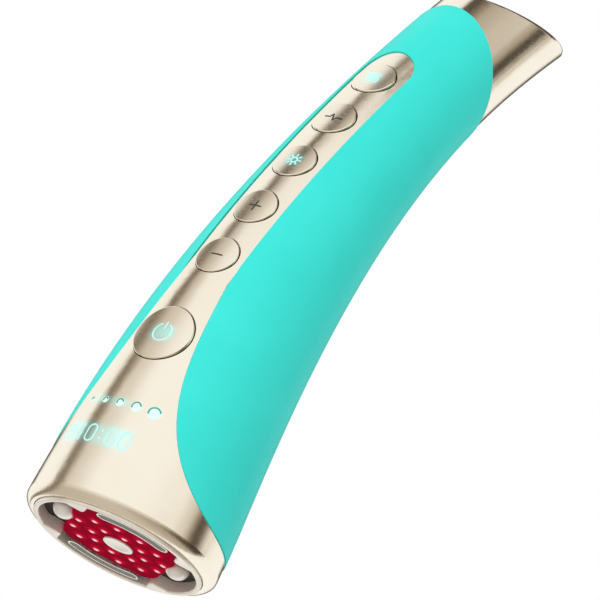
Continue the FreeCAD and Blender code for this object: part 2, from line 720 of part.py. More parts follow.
slot_width = SOCKET_WIDTH + 2 * SOCKET_GAP
slot_depth = SOCKET_DEPTH + 2 * SOCKET_GAP
socket_hole = bar(slot_width, slot_depth, board_top, spreader_top, 0, SOCKET_Y)
save("heat_spreader", placed(spreader.cut(screw_holes), head_frame).cut(socket_hole))
spreader_screws = []
for x, y in spreader_screw_places:
    piece = screw(SCREW_R, spreader_top - board_low + SPREADER_PILOT - SCREW_TIP, SCREW_HEAD_R, SCREW_HEAD_H)
    piece.translate(V(x, y, spreader_top))
    spreader_screws.append(piece)
save("spreader_screws", placed(Part.makeCompound(spreader_screws), head_frame))
socket_top = board_top + SOCKET_H
save("head_socket", bar(SOCKET_WIDTH, SOCKET_DEPTH, board_top, socket_top, 0, SOCKET_Y))

# Keys, plungers and switches

switches = []
for name, station, radius in zip(KEY_NAMES, key_stations, key_radii):
    frame = front_frame(station)
    crown_r = KEY_FLATNESS * outer_r(station)
    crown = Part.makeCylinder(crown_r, 2 * FAR, V(0, -FAR, KEY_RISE - crown_r), Y_AXIS)
    cap = rod(radius, -CAP_DEPTH, CAP_DEPTH).common(crown).removeSplitter()
    top_edges = [e for e in cap.Edges if e.CenterOfMass.z > KEY_EDGE_R - CAP_DEPTH and e.Length > radius]
    cap = placed(cap.makeFillet(KEY_EDGE_R, top_edges), frame)
    inner_r = outer_r(station) - WALL_IN
    ear_top = SHELL_WALL + inner_r - math.sqrt(inner_r ** 2 - EAR_HALF_WIDTH ** 2) + EAR_GAP
    ears = bar(2 * EAR_HALF_WIDTH, 2 * (radius + EAR_REACH), -ear_top - EAR_T, -ear_top)
    stem = rod(STEM_R, -STEM_DEPTH, -ear_top)
    save(name + "_key", cap.fuse([placed(ears, frame), placed(stem, frame)]))
    plunger = rod(PLUNGER_R, -STEM_DEPTH - PLUNGER_LENGTH, -STEM_DEPTH)
    save(name + "_plunger", placed(plunger, frame))
    switch_low = BAND_SEAT - KEY_BOARD_DEPTH
    switch = bar(SWITCH_SIZE, SWITCH_SIZE, switch_low, switch_low + SWITCH_H)
    switch = switch.cut(rod(PLUNGER_R + PLUNGER_GAP, switch_low + SWITCH_FLOOR, 0))
    switches.append(placed(switch, frame))
save("switch_bodies", Part.makeCompound(switches))

key_board = front_band(KEY_BOARD_DEPTH, carrier_low, KEY_BOARD_HALF_WIDTH)
key_carrier = front_band(carrier_low, carrier_back, KEY_BOARD_HALF_WIDTH)
carrier_holes = []
carrier_screws = []
for station, side_x in boss_places:
    frame = front_frame(station)
    carrier_holes.append(placed(rod(SCREW_R + SCREW_CLEAR, -FAR, 0, side_x), frame))
    reach = carrier_back - KEY_BOARD_DEPTH + BOSS_PILOT - SCREW_TIP
    piece = screw(SCREW_R, reach, SCREW_HEAD_R, SCREW_HEAD_H)
    piece.rotate(V(0, 0, 0), X_AXIS, 180)
    piece.translate(V(side_x, 0, -carrier_back - BAND_SEAT))
    carrier_screws.append(placed(piece, frame))
save("key_board", key_board.cut(carrier_holes))
save("key_carrier", key_carrier.cut(carrier_holes))
save("carrier_screws", Part.makeCompound(carrier_screws))

# Level lights and readout behind the gold front

light_bar_x = (LEVEL_COUNT - 1) * LEVEL_PITCH + 2 * (LEVEL_FIRST_R + LEVEL_GROWTH * (LEVEL_COUNT - 1))
light_bar = bar(light_bar_x, LEVEL_BAR_T, LEVEL_AT - LEVEL_BAR_H / 2, LEVEL_AT + LEVEL_BAR_H / 2,
                0, -rod_foot)
light_bar = light_bar.common(swept(WALL_IN + LEVEL_WALL_GAP, shelf_top, FLARE_TOP_AT))
light_rods = [level_rod(i, 0, rod_foot).common(gold) for i in range(LEVEL_COUNT)]
save("level_light_pipe", fused([light_bar] + light_rods))
indicators = []
for i in range(LEVEL_COUNT):
    x = (i - (LEVEL_COUNT - 1) / 2) * LEVEL_PITCH
    indicators.append(bar(INDICATOR_SIZE, INDICATOR_H, LEVEL_AT - INDICATOR_SIZE / 2,
                          LEVEL_AT + INDICATOR_SIZE / 2, x, -DISPLAY_BOARD_Y - INDICATOR_H / 2))
save("indicator_leds", Part.makeCompound(indicators))
readout = bar(2 * (display_half - READOUT_MARGIN), READOUT_DEPTH, READOUT_AT - READOUT_HEIGHT / 2,
              READOUT_AT + READOUT_HEIGHT / 2, 0, -DISPLAY_BOARD_Y - READOUT_DEPTH / 2)
save("readout_module", readout)
display_board = bar(2 * display_half, DISPLAY_BOARD_T, DISPLAY_BOARD_LOW, DISPLAY_BOARD_HIGH,
                    0, DISPLAY_BOARD_T / 2 - DISPLAY_BOARD_Y)
display_screws = []
for side in (-1, 1):
    spot = V(side * display_boss_x, DISPLAY_BOARD_T - DISPLAY_BOARD_Y, DISPLAY_BOSS_AT)
    hole = Part.makeCylinder(SCREW_R + SCREW_CLEAR, DISPLAY_BOARD_T, spot, -Y_AXIS)
    display_board = display_board.cut(hole)
    piece = screw(SCREW_R, DISPLAY_BOARD_T + DISPLAY_PILOT - SCREW_TIP, SCREW_HEAD_R, SCREW_HEAD_H)
    piece.rotate(V(0, 0, 0), X_AXIS, -90)
    piece.translate(spot)
    display_screws.append(piece)
save("display_board", display_board)
save("display_screws", Part.makeCompound(display_screws))

# Battery and what is set out with it

cell_foot = centre(CELL_FROM)
cell_head = centre(CELL_FROM + CELL_LENGTH)
cell_lean = math.degrees(math.atan2(cell_head.y - cell_foot.y, cell_head.z - cell_foot.z))
cell_frame = leaning(cell_foot, cell_lean)
cell = rod(CELL_R, 0, CELL_LENGTH, 0, CELL_SETBACK)
cell = cell.makeFillet(CELL_EDGE_R, edges_at(cell, 0) + edges_at(cell, CELL_LENGTH))
save("battery_cell", placed(cell, cell_frame))

trough_r = CELL_R + CELL_GAP
side_x = CELL_R + CELL_SIDE_GAP
frame_r = side_x + FRAME_WALL
frame_low = -(cell_foot.z - BULKHEAD_AT) / math.cos(math.radians(cell_lean)) - frame_r
frame_top = CELL_LENGTH + CELL_END_GAP + FRAME_WALL


def trough(radius, half_width, side_height, low, high):
    """A round-bottomed channel's outline, open to the front."""
    sides = block((-half_width, -side_height, low), (half_width, CELL_SETBACK, high))
    return rod(radius, low, high, 0, CELL_SETBACK).fuse(sides)


tall = trough(frame_r, frame_r, RAIL_HEIGHT, frame_low, BOARD_TO)
short = trough(frame_r, frame_r, FRAME_SIDE, frame_low, frame_top)
channel = tall.fuse(short).cut(trough(trough_r, side_x, FAR, frame_low, frame_top))
stop_low = -CELL_END_GAP - FRAME_WALL
frame_walls = []
for low in (stop_low, CELL_LENGTH + CELL_END_GAP):
    wall = trough(frame_r, frame_r, FRAME_SIDE, low, low + FRAME_WALL)
    frame_walls.append(wall.common(block((-FAR, -FRAME_WALL_FRONT, -FAR), (FAR, FAR, FAR))))
board_screw_places = []
for level in (BOARD_FROM + BOARD_SCREW_INSET, BOARD_TO - BOARD_SCREW_INSET):
    board_screw_places += [(-BOARD_SCREW_X, level), (BOARD_SCREW_X, level)]
for x, level in board_screw_places:
    frame_walls.append(Part.makeCylinder(BOARD_BOSS_R, BOARD_BOSS_H, V(x, -RAIL_HEIGHT, level), Y_AXIS))
inner_frame = channel.fuse(frame_walls)
frame_holes = []
board_screws = []
for x, level in board_screw_places:
    frame_holes.append(Part.makeCylinder(SCREW_R + SCREW_GAP, BOARD_PILOT, V(x, -RAIL_HEIGHT, level), Y_AXIS))
    piece = screw(SCREW_R, BOARD_T + BOARD_PILOT - SCREW_TIP, SCREW_HEAD_R, SCREW_HEAD_H)
    piece.rotate(V(0, 0, 0), X_AXIS, 90)
    piece.translate(V(x, -RAIL_HEIGHT - BOARD_T, level))
    board_screws.append(piece)
frame_skin = swept(WALL_IN + FRAME_FIT, shelf_top, TAIL_JOINT_AT)
inner_frame = placed(inner_frame.cut(frame_holes), cell_frame).common(frame_skin)
inner_frame = inner_frame.cut(block((-FAR, -FAR, -FAR), (FAR, FAR, BULKHEAD_AT)))

bulkhead = frame_skin.common(bar(FAR, FAR, BULKHEAD_AT, BULKHEAD_AT + BULKHEAD_T))
bulkhead = bulkhead.cut([bar(FAR, FAR, 0, FAR, 0, -BULKHEAD_FRONT - FAR / 2), rod(BULKHEAD_HOLE_R, 0, FAR)])
top_bulkhead = frame_skin.common(slab(cell_frame, frame_top - BULKHEAD_T, frame_top))
top_bulkhead = top_bulkhead.cut(placed(bar(FAR, FAR, 0, FAR, 0, -FRAME_WALL_FRONT - FAR / 2), cell_frame))
cell_room = rod(trough_r, 0, CELL_LENGTH + CELL_END_GAP, 0, CELL_SETBACK)
top_bulkhead = top_bulkhead.cut(placed(cell_room, cell_frame))
post = placed(rod(POST_R, -FAR, 0), web_frame)
post = post.cut(slab(cell_frame, -FAR, frame_top - BULKHEAD_T / 2))
legs = []
leg_holes = []
for x, y in head_screw_places:
    spot = head_frame.multVec(V(x, y, 0))
    if spot.y > -BULKHEAD_FRONT:
        legs.append(rod(LEG_R, shelf_top, BULKHEAD_AT + BULKHEAD_T / 2, spot.x, spot.y))
        tip = BEZEL_T + HEAD_SCREW_SINK + HEAD_SCREW_LENGTH + SCREW_TIP
        leg_holes.append(rod(SCREW_R + SCREW_GAP, shelf_top, tip, spot.x, spot.y))
post_pilot = rod(TAIL_SCREW_R + SCREW_GAP, -TAIL_SCREW_LENGTH, 0)
leg_holes.append(placed(post_pilot, web_frame))
inner_frame = inner_frame.fuse([bulkhead, top_bulkhead, post] + legs).cut(leg_holes)
save("inner_frame", inner_frame)
tail_screw = screw(TAIL_SCREW_R, WEB_T + TAIL_SCREW_LENGTH - SCREW_TIP, TAIL_SCREW_HEAD_R, TAIL_SCREW_HEAD_H)
tail_screw.translate(V(0, 0, WEB_T))
save("tail_screw", placed(tail_screw, web_frame))

strap = rod(CELL_R + STRAP_GAP + STRAP_T, STRAP_AT, STRAP_AT + STRAP_WIDTH, 0, CELL_SETBACK)
strap = strap.cut(rod(CELL_R + STRAP_GAP, STRAP_AT, STRAP_AT + STRAP_WIDTH, 0, CELL_SETBACK))
strap = strap.common(block((-FAR, -FAR, 0), (FAR, CELL_SETBACK, FAR)))
save("cell_strap", placed(strap, cell_frame))

board_front = -RAIL_HEIGHT - BOARD_T
main_board = block((-frame_r, board_front, BOARD_FROM), (frame_r, -RAIL_HEIGHT, BOARD_TO))
for x, level in board_screw_places:
    hole = Part.makeCylinder(SCREW_R + SCREW_CLEAR, BOARD_T, V(x, -RAIL_HEIGHT, level), -Y_AXIS)
    main_board = main_board.cut(hole)
save("main_board", placed(main_board, cell_frame).common(frame_skin))
save("board_screws", placed(Part.makeCompound(board_screws), cell_frame))


def on_front(width, length, height, level):
    low = level - length / 2
    return block((-width / 2, board_front - height, low), (width / 2, board_front, low + length))


def on_back(width, length, height, level):
    low = level - length / 2
    return block((-width / 2, -RAIL_HEIGHT, low), (width / 2, height - RAIL_HEIGHT, low + length))


save("control_chip", placed(on_front(CHIP_SIZE, CHIP_SIZE, CHIP_H, CHIP_AT), cell_frame))
inductor = on_front(INDUCTOR_SIZE, INDUCTOR_SIZE, INDUCTOR_H, INDUCTOR_AT)
standing = [e for e in inductor.Edges if e.BoundBox.YLength > INDUCTOR_H / 2]
save("boost_inductor", placed(inductor.makeFillet(INDUCTOR_EDGE_R, standing), cell_frame))
core = on_back(TRANSFORMER_WIDTH, TRANSFORMER_LENGTH, TRANSFORMER_H, TRANSFORMER_AT)
core_mid = V(-TRANSFORMER_WIDTH / 2, TRANSFORMER_H / 2 - RAIL_HEIGHT, TRANSFORMER_AT)
opening = on_back(TRANSFORMER_WIDTH - 2 * TRANSFORMER_BAR, TRANSFORMER_LENGTH, TRANSFORMER_H, TRANSFORMER_AT)
coil = Part.makeCylinder(TRANSFORMER_COIL_R, TRANSFORMER_WIDTH, core_mid, X_AXIS)
save("pulse_transformer", placed(core.cut(opening).fuse(coil), cell_frame))
connectors = [on_back(CONNECTOR_WIDTH, CONNECTOR_LENGTH, CONNECTOR_H, CONNECTOR_AT)]
connectors.append(on_back(CONNECTOR_WIDTH, CONNECTOR_LENGTH, CONNECTOR_H, CELL_CONNECTOR_AT))
save("board_connectors", placed(Part.makeCompound(connectors), cell_frame))

connector_foot = V(0, CONNECTOR_H / 2 - RAIL_HEIGHT, CONNECTOR_AT - CONNECTOR_LENGTH / 2)
ribbon_end = cell_frame.multVec(connector_foot)
ribbon_top = ribbon_end.z - RIBBON_END_GAP
ribbon_top -= RIBBON_T * math.tan(math.radians(cell_lean))
save("head_ribbon", bar(RIBBON_WIDTH, RIBBON_T, socket_top, ribbon_top, 0, ribbon_end.y))
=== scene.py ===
import json
import math

import bmesh
import bpy
from mathutils import Matrix, Vector
from mathutils.bvhtree import BVHTree


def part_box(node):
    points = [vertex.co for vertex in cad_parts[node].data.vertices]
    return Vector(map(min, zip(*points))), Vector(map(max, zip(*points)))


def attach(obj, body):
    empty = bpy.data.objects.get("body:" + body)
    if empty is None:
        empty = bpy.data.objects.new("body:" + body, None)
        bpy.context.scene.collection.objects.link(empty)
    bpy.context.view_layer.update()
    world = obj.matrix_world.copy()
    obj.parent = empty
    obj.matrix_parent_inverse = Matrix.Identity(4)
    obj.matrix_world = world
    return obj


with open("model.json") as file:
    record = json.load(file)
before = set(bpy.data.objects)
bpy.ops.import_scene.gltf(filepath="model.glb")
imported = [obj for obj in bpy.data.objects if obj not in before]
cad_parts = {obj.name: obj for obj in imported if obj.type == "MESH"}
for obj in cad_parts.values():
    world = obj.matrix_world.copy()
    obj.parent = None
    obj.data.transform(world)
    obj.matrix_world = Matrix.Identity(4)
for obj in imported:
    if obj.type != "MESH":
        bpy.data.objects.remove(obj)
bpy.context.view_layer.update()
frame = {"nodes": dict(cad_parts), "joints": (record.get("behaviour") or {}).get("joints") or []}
nodes = frame["nodes"]

# The inner frame is a dark glass-filled tray, moulded in one piece. It carries the cell and the main board,
# and it is screwed to the head at one end and to the tail at the other.


def finish_of(name, colour, roughness, metallic=0.0):
    """A new finish: its material, its node tree and its shader."""
    material = bpy.data.materials.new(name)
    material.use_nodes = True
    tree = material.node_tree
    shader = tree.nodes["Principled BSDF"]
    shader.inputs["Base Color"].default_value = (*colour, 1)
    shader.inputs["Roughness"].default_value = roughness
    shader.inputs["Metallic"].default_value = metallic
    return material, tree, shader


def node_in(tree, kind, **settings):
    """A new node with some settings."""
    made = tree.nodes.new(kind)
    for key, value in settings.items():
        setattr(made, key, value)
    return made


def noise_in(tree, scale, detail=2.0):
    """Noise that is fixed to the piece, with scale in cycles to the metre."""
    place = node_in(tree, "ShaderNodeTexCoord")
    noise = node_in(tree, "ShaderNodeTexNoise")
    noise.inputs["Scale"].default_value = scale
    noise.inputs["Detail"].default_value = detail
    tree.links.new(place.outputs["Object"], noise.inputs["Vector"])
    return noise.outputs["Fac"]


NOISE_LOW = 0.3
NOISE_HIGH = 0.7


def spread_in(tree, value, low, high, from_low=NOISE_LOW, from_high=NOISE_HIGH):
    """A value stretched between two others. Without its own range it is taken to be noise."""
    spread = node_in(tree, "ShaderNodeMapRange")
    spread.inputs["From Min"].default_value = from_low
    spread.inputs["From Max"].default_value = from_high
    spread.inputs["To Min"].default_value = low
    spread.inputs["To Max"].default_value = high
    tree.links.new(value, spread.inputs["Value"])
    return spread.outputs["Result"]


def tint_in(tree, value, first, second):
    """A colour between two, led by a value from 0 to 1. The first may come from another node."""
    tint = node_in(tree, "ShaderNodeMix", data_type="RGBA")
    share, first_colour, second_colour = (tint.inputs[i] for i in (0, 6, 7))
    if isinstance(first, tuple):
        first_colour.default_value = (*first, 1)
    else:
        tree.links.new(first, first_colour)
    second_colour.default_value = (*second, 1)
    tree.links.new(value, share)
    return tint.outputs[2]


def raise_in(tree, shader, value, depth):
    """A fine relief, with its depth in metres."""
    relief = node_in(tree, "ShaderNodeBump")
    relief.inputs["Strength"].default_value = 1.0
    relief.inputs["Distance"].default_value = depth
    tree.links.new(value, relief.inputs["Height"])
    tree.links.new(relief.outputs["Normal"], shader.inputs["Normal"])


GRAINS_TO_A_PATCH = 12
GRAIN_DETAIL = 3.0
PALER = 1.12
DARKER = 0.9
GLOSS_SWING = 0.06


def moulded(name, colour, roughness, grain_per_metre, grain_depth, metallic=0.0):
    """A moulded or rolled surface: a little uneven in colour and gloss, with a fine grain."""
    material, tree, shader = finish_of(name, colour, roughness, metallic)
    patches = spread_in(tree, noise_in(tree, grain_per_metre / GRAINS_TO_A_PATCH), 0.0, 1.0)
    paler = tuple(min(1.0, part * PALER) for part in colour)
    darker = tuple(part * DARKER for part in colour)
    tree.links.new(tint_in(tree, patches, darker, paler), shader.inputs["Base Color"])
    grain = noise_in(tree, grain_per_metre, GRAIN_DETAIL)
    gloss = spread_in(tree, grain, roughness - GLOSS_SWING, roughness + GLOSS_SWING)
    tree.links.new(gloss, shader.inputs["Roughness"])
    raise_in(tree, shader, grain, grain_depth)
    return material


def dress(material, *names):
    """Puts a finish on CAD nodes."""
    for name in names:
        slots = nodes[name].data.materials
        slots.clear()
        slots.append(material)


frame_plastic = moulded("frame_plastic", (0.1, 0.1, 0.11), 0.5, 2200, 1.5e-5)
dress(frame_plastic, "inner_frame", "key_carrier")

# The cell is a steel can in a shrunk blue sleeve. It lies in the tray under a strip of black woven tape,
# which is glued to the tray's two sides.

dress(moulded("cell_sleeve", (0.04, 0.11, 0.36), 0.35, 900, 1e-5), "battery_cell")
dress(moulded("woven_tape", (0.02, 0.02, 0.022), 0.8, 3000, 4e-5), "cell_strap")

# The boards are green glass-epoxy with a matt resist over the copper. The parts on them are soldered:
# black moulded chips and switches, a wound transformer, cream connectors and a flat grey ribbon.

board_green = moulded("board_green", (0.012, 0.14, 0.05), 0.42, 1500, 1e-5)
dress(board_green, "main_board", "key_board", "display_board", "led_board", "charge_board")
chip_black = moulded("chip_black", (0.025, 0.025, 0.028), 0.48, 3200, 1.2e-5)
dress(chip_black, "control_chip", "boost_inductor", "switch_bodies", "readout_module", "charge_tongue")
dress(moulded("copper_winding", (0.5, 0.2, 0.07), 0.35, 2600, 3e-5, 1.0), "pulse_transformer")
dress(moulded("connector_cream", (0.72, 0.69, 0.6), 0.45, 2400, 1e-5), "board_connectors", "head_socket")
dress(moulded("ribbon_grey", (0.6, 0.6, 0.6), 0.4, 1800, 1e-5), "head_ribbon")
led_body = moulded("led_body", (0.78, 0.75, 0.62), 0.35, 2400, 8e-6)
dress(led_body, "leds", "indicator_leds")

# All screws are small steel pan-heads, zinc plated. They hold the boards, the carriers, the heat spreader,
# which is plain aluminium sheet, and the tail.

screw_steel = moulded("screw_steel", (0.58, 0.58, 0.57), 0.3, 2500, 8e-6, 1.0)
dress(screw_steel, "head_screws", "spreader_screws", "carrier_screws", "display_screws", "board_screws",
      "charge_screws", "tail_screw")
dress(moulded("spreader_sheet", (0.72, 0.73, 0.75), 0.32, 1600, 8e-6, 1.0), "heat_spreader")

# The electrode carrier is the dark floor of the head's recess, moulded in satin grey plastic. Screws under
# the bezel hold it to a shelf of the housing, on a black silicone ring that seals the head.

CARRIER_SHINE = 0.1

recess_floor = moulded("recess_floor", (0.03, 0.028, 0.027), 0.5, 2200, 2e-6)
recess_shader = recess_floor.node_tree.nodes["Principled BSDF"]
recess_shader.inputs["Specular IOR Level"].default_value = CARRIER_SHINE
dress(recess_floor, "electrode_carrier")
dress(moulded("seal_rubber", (0.02, 0.02, 0.02), 0.7, 2800, 1.5e-5), "head_gasket")

# The lens is clear red acrylic with one small dome over each LED, lit from behind. It is glued to the
# carrier round its edge. Each dome carries a pale painted highlight, a glint painted into the lens over its
# LED.

HEAD_TURN = math.radians(45)
INNER_LEDS = 8
INNER_LED_RING = 0.0068
OUTER_LEDS = 12
OUTER_LED_RING = 0.0114
LENS_BODY = (0.06, 0.001, 0.004)
LENS_DIM = (0.22, 0.003, 0.016)
LENS_LIT = (0.56, 0.003, 0.026)
GLINT_PALE = (1.0, 0.72, 0.75)
BLOOM_FROM_TO = (0.0006, 0.0022)
GLINT_FROM_TO = (0.0003, 0.0009)


def sum_in(tree, operation, *values):
    """A chain of one sum over sockets and plain numbers."""
    total = values[0]
    for value in values[1:] or (None,):
        step = node_in(tree, "ShaderNodeMath", operation=operation)
        for socket, part in zip(step.inputs, (total, value)):
            if isinstance(part, (int, float)):
                socket.default_value = part
            elif part is not None:
                tree.links.new(part, socket)
        total = step.outputs[0]
    return total


def diagonal_in(tree, first, second):
    """The length of the diagonal between two sides."""
    squares = [sum_in(tree, "MULTIPLY", side, side) for side in (first, second)]
    return sum_in(tree, "SQRT", sum_in(tree, "ADD", *squares))


def head_polar_in(tree):
    """Distance from the head's axis, and the angle round it from the head's first axis."""
    place = node_in(tree, "ShaderNodeTexCoord")
    parts = node_in(tree, "ShaderNodeSeparateXYZ")
    tree.links.new(place.outputs["Object"], parts.inputs[0])
    x, y = parts.outputs["X"], parts.outputs["Y"]
    turn = sum_in(tree, "SUBTRACT", sum_in(tree, "ARCTAN2", y, x), HEAD_TURN)
    return diagonal_in(tree, x, y), turn


def led_spots_in(tree, out, turn, count, ring, offset, spot, fade):
    """A value that is 1 at each LED of a ring and falls to 0 a little way off."""
    step = math.pi / count
    wrap = node_in(tree, "ShaderNodeMath", operation="WRAP")
    tree.links.new(sum_in(tree, "SUBTRACT", turn, offset), wrap.inputs[0])
    wrap.inputs[1].default_value = step
    wrap.inputs[2].default_value = -step
    along = sum_in(tree, "MULTIPLY", out, wrap.outputs[0])
    across = sum_in(tree, "SUBTRACT", out, ring)
    return spread_in(tree, diagonal_in(tree, along, across), 1.0, 0.0, spot, fade)


def led_mask_in(tree, out, turn, spot, fade):
    """The same over both rings of LEDs. The outer ring is turned by half a step."""
    inner = led_spots_in(tree, out, turn, INNER_LEDS, INNER_LED_RING, 0.0, spot, fade)
    outer = led_spots_in(tree, out, turn, OUTER_LEDS, OUTER_LED_RING, math.pi / OUTER_LEDS, spot, fade)
    return sum_in(tree, "MAXIMUM", inner, outer)


lens_red, tree, shader = finish_of("lens_red", LENS_BODY, 0.25)
out, turn = head_polar_in(tree)
bloom = tint_in(tree, led_mask_in(tree, out, turn, *BLOOM_FROM_TO), LENS_DIM, LENS_LIT)
# The pale spots over the LEDs are painted highlights: a glint painted on each dome.
lit = tint_in(tree, led_mask_in(tree, out, turn, *GLINT_FROM_TO), bloom, GLINT_PALE)
tree.links.new(lit, shader.inputs["Emission Color"])
shader.inputs["Emission Strength"].default_value = 1.0
shader.inputs["Specular IOR Level"].default_value = 0.0
dress(lens_red, "led_lens")

# The two domes and the dished contact at the centre are turned brass, plated in a satin ivory. The domes are
# pressed into the carrier by pegs, and the contact's peg stands on the LED board.

plated = moulded("plated_ivory", (0.98, 0.92, 0.82), 0.34, 1600, 1e-7, 0.4)
dress(plated, "dome_electrode_1", "dome_electrode_2", "centre_electrode")

# The two arc electrodes are stamped plated strips with a fine cross hatch, pegged to the carrier. A smooth
# raised border runs round each of them.

ARC_RING = 0.0169
ARC_HALF_ANGLE = math.radians(26)
ARC_HALF_WIDTH = 0.00175
ARC_TOP = 0.0005
BORDER_WIDTH = 0.0004
BORDER_HEIGHT = 0.00012
ARC_STEPS = 24
ARC_END_STEPS = 10
HATCH_PITCH = 0.00045
HATCH_DEPTH = 4e-5
HATCH_DARK = (0.16, 0.155, 0.135)
HATCH_PALE = (0.36, 0.35, 0.31)
HATCH_FROM_TO = (0.05, 0.5)
WAVE_UNIT = 0.314


def piece_from(name, faces_made, material, body):
    """A new object from a filled bmesh, riding on a body."""
    mesh = bpy.data.meshes.new(name)
    bmesh.ops.recalc_face_normals(faces_made, faces=faces_made.faces)
    faces_made.to_mesh(mesh)
    faces_made.free()
    mesh.materials.append(material)
    made = bpy.data.objects.new(name, mesh)
    bpy.context.scene.collection.objects.link(made)
    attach(made, body)
    return made


def arc_outline(side, inset):
    """Points round an arc electrode, drawn in by an inset."""
    half = ARC_HALF_WIDTH - inset
    middle = HEAD_TURN + side * math.pi / 2
    points = []
    for i in range(ARC_STEPS + 1):
        angle = middle - ARC_HALF_ANGLE + 2 * ARC_HALF_ANGLE * i / ARC_STEPS
        points.append(((ARC_RING + half) * math.cos(angle), (ARC_RING + half) * math.sin(angle)))
    for end in (1, -1):
        angle = middle + end * ARC_HALF_ANGLE
        base = Vector((ARC_RING * math.cos(angle), ARC_RING * math.sin(angle)))
        out_way = Vector((math.cos(angle), math.sin(angle)))
        round_way = Vector((-math.sin(angle), math.cos(angle))) * end
        for i in range(1, ARC_END_STEPS):
            turned = math.pi * i / ARC_END_STEPS
            swing = out_way * (math.cos(turned) * end) + round_way * math.sin(turned)
            points.append(tuple(base + swing * half))
        if end == 1:
            for i in range(ARC_STEPS + 1):
                angle = middle + ARC_HALF_ANGLE - 2 * ARC_HALF_ANGLE * i / ARC_STEPS
                points.append(((ARC_RING - half) * math.cos(angle), (ARC_RING - half) * math.sin(angle)))
    return points


arc_hatch, tree, shader = finish_of("arc_hatch", (0.5, 0.46, 0.4), 0.5, 0.3)
shader.inputs["Specular IOR Level"].default_value = 0.2
place = node_in(tree, "ShaderNodeTexCoord")
lines = []
for lean in (HEAD_TURN, HEAD_TURN + math.pi / 2):
    turned = node_in(tree, "ShaderNodeMapping")
    turned.inputs["Rotation"].default_value = (0, 0, -lean)
    tree.links.new(place.outputs["Object"], turned.inputs["Vector"])
    wave = node_in(tree, "ShaderNodeTexWave", wave_type="BANDS", bands_direction="X")
    wave.inputs["Scale"].default_value = WAVE_UNIT / HATCH_PITCH
    tree.links.new(turned.outputs[0], wave.inputs["Vector"])
    lines.append(wave.outputs["Fac"])
hatch = sum_in(tree, "MULTIPLY", *lines)
# The hatch's colour follows its relief: it is darker where it is sunk, as painted shade in the grooves.
ridges = spread_in(tree, hatch, 0.0, 1.0, *HATCH_FROM_TO)
tree.links.new(tint_in(tree, ridges, HATCH_DARK, HATCH_PALE), shader.inputs["Base Color"])
raise_in(tree, shader, hatch, HATCH_DEPTH)
dress(arc_hatch, "arc_electrode_1", "arc_electrode_2")

for number, side in enumerate((-1, 1), 1):
    border = bmesh.new()
    crest = ARC_TOP - BORDER_HEIGHT
    rings = []
    for inset, level in ((0.0, ARC_TOP), (0.0, crest), (BORDER_WIDTH, crest), (BORDER_WIDTH, ARC_TOP)):
        rings.append([border.verts.new((x, y, level)) for x, y in arc_outline(side, inset)])
    count = len(rings[0])
    for near, far in zip(rings, rings[1:] + rings[:1]):
        for i in range(count):
            after = (i + 1) % count
            border.faces.new((near[i], near[after], far[after], far[i]))
    piece_from("arc_border_" + str(number), border, plated, "wand")

# The bezel is a pale champagne ring with four shoulders, metallised over plastic. It clips into the gold
# housing round the lens and the electrodes, and hides the carrier's screws.

dress(moulded("bezel_champagne", (0.9, 0.83, 0.725), 0.34, 900, 1e-7, 0.45), "head_bezel")

# The front housing is moulded plastic with a champagne-gold metallised skin under a clear coat. It is one
# piece with the head's ring and the key strip, and closes on the grip shell with a lip.

GOLD = (0.95, 0.885, 0.75)
DEEP_GOLD = (0.93, 0.855, 0.71)
LIT_CYAN = (0.16, 0.92, 0.92)
LIT_GOLD = (0.56, 0.92, 0.86)
GLOW_SHARE = 0.28
GLOW_FALL = 2.0
GOLD_DRIFT_PER_METRE = 90
GOLD_GRAIN_PER_METRE = 2600
GOLD_ROUGH_FROM_TO = (0.13, 0.2)
RIPPLES_PER_METRE = 240
RIPPLE_DEPTH = 4e-6


def vector_in(tree, operation, value, other=(0, 0, 0)):
    """One step of a sum over places."""
    step = node_in(tree, "ShaderNodeVectorMath", operation=operation)
    tree.links.new(value, step.inputs[0])
    step.inputs[1].default_value = other
    return step.outputs["Value" if operation == "LENGTH" else "Vector"]


def gold_skin(name, glows=()):
    """Champagne-gold skin; each glow is a centre, a half width, a half height, a reach and a strength."""
    material, tree, shader = finish_of(name, GOLD, 0.16, 1.0)
    drift = spread_in(tree, noise_in(tree, GOLD_DRIFT_PER_METRE), 0.0, 1.0)
    skin = tint_in(tree, drift, GOLD, DEEP_GOLD)
    grain = noise_in(tree, GOLD_GRAIN_PER_METRE, GRAIN_DETAIL)
    tree.links.new(spread_in(tree, grain, *GOLD_ROUGH_FROM_TO), shader.inputs["Roughness"])
    raise_in(tree, shader, noise_in(tree, RIPPLES_PER_METRE, 1.0), RIPPLE_DEPTH)
    total = 0.0
    for centre, half_width, half_height, reach, strength in glows:
        place = node_in(tree, "ShaderNodeTexCoord").outputs["Object"]
        off = vector_in(tree, "ABSOLUTE", vector_in(tree, "SUBTRACT", place, centre))
        past = vector_in(tree, "SUBTRACT", off, (half_width, reach, half_height))
        away = vector_in(tree, "LENGTH", vector_in(tree, "MAXIMUM", past))
        near = sum_in(tree, "POWER", spread_in(tree, away, 1.0, 0.0, 0.0, reach), GLOW_FALL)
        total = sum_in(tree, "ADD", total, sum_in(tree, "MULTIPLY", near, strength))
    if glows:
        skin = tint_in(tree, total, skin, LIT_GOLD)
        tree.links.new(sum_in(tree, "MULTIPLY", total, GLOW_SHARE), shader.inputs["Emission Strength"])
        shader.inputs["Emission Color"].default_value = (*LIT_CYAN, 1)
    tree.links.new(skin, shader.inputs["Base Color"])
    return material


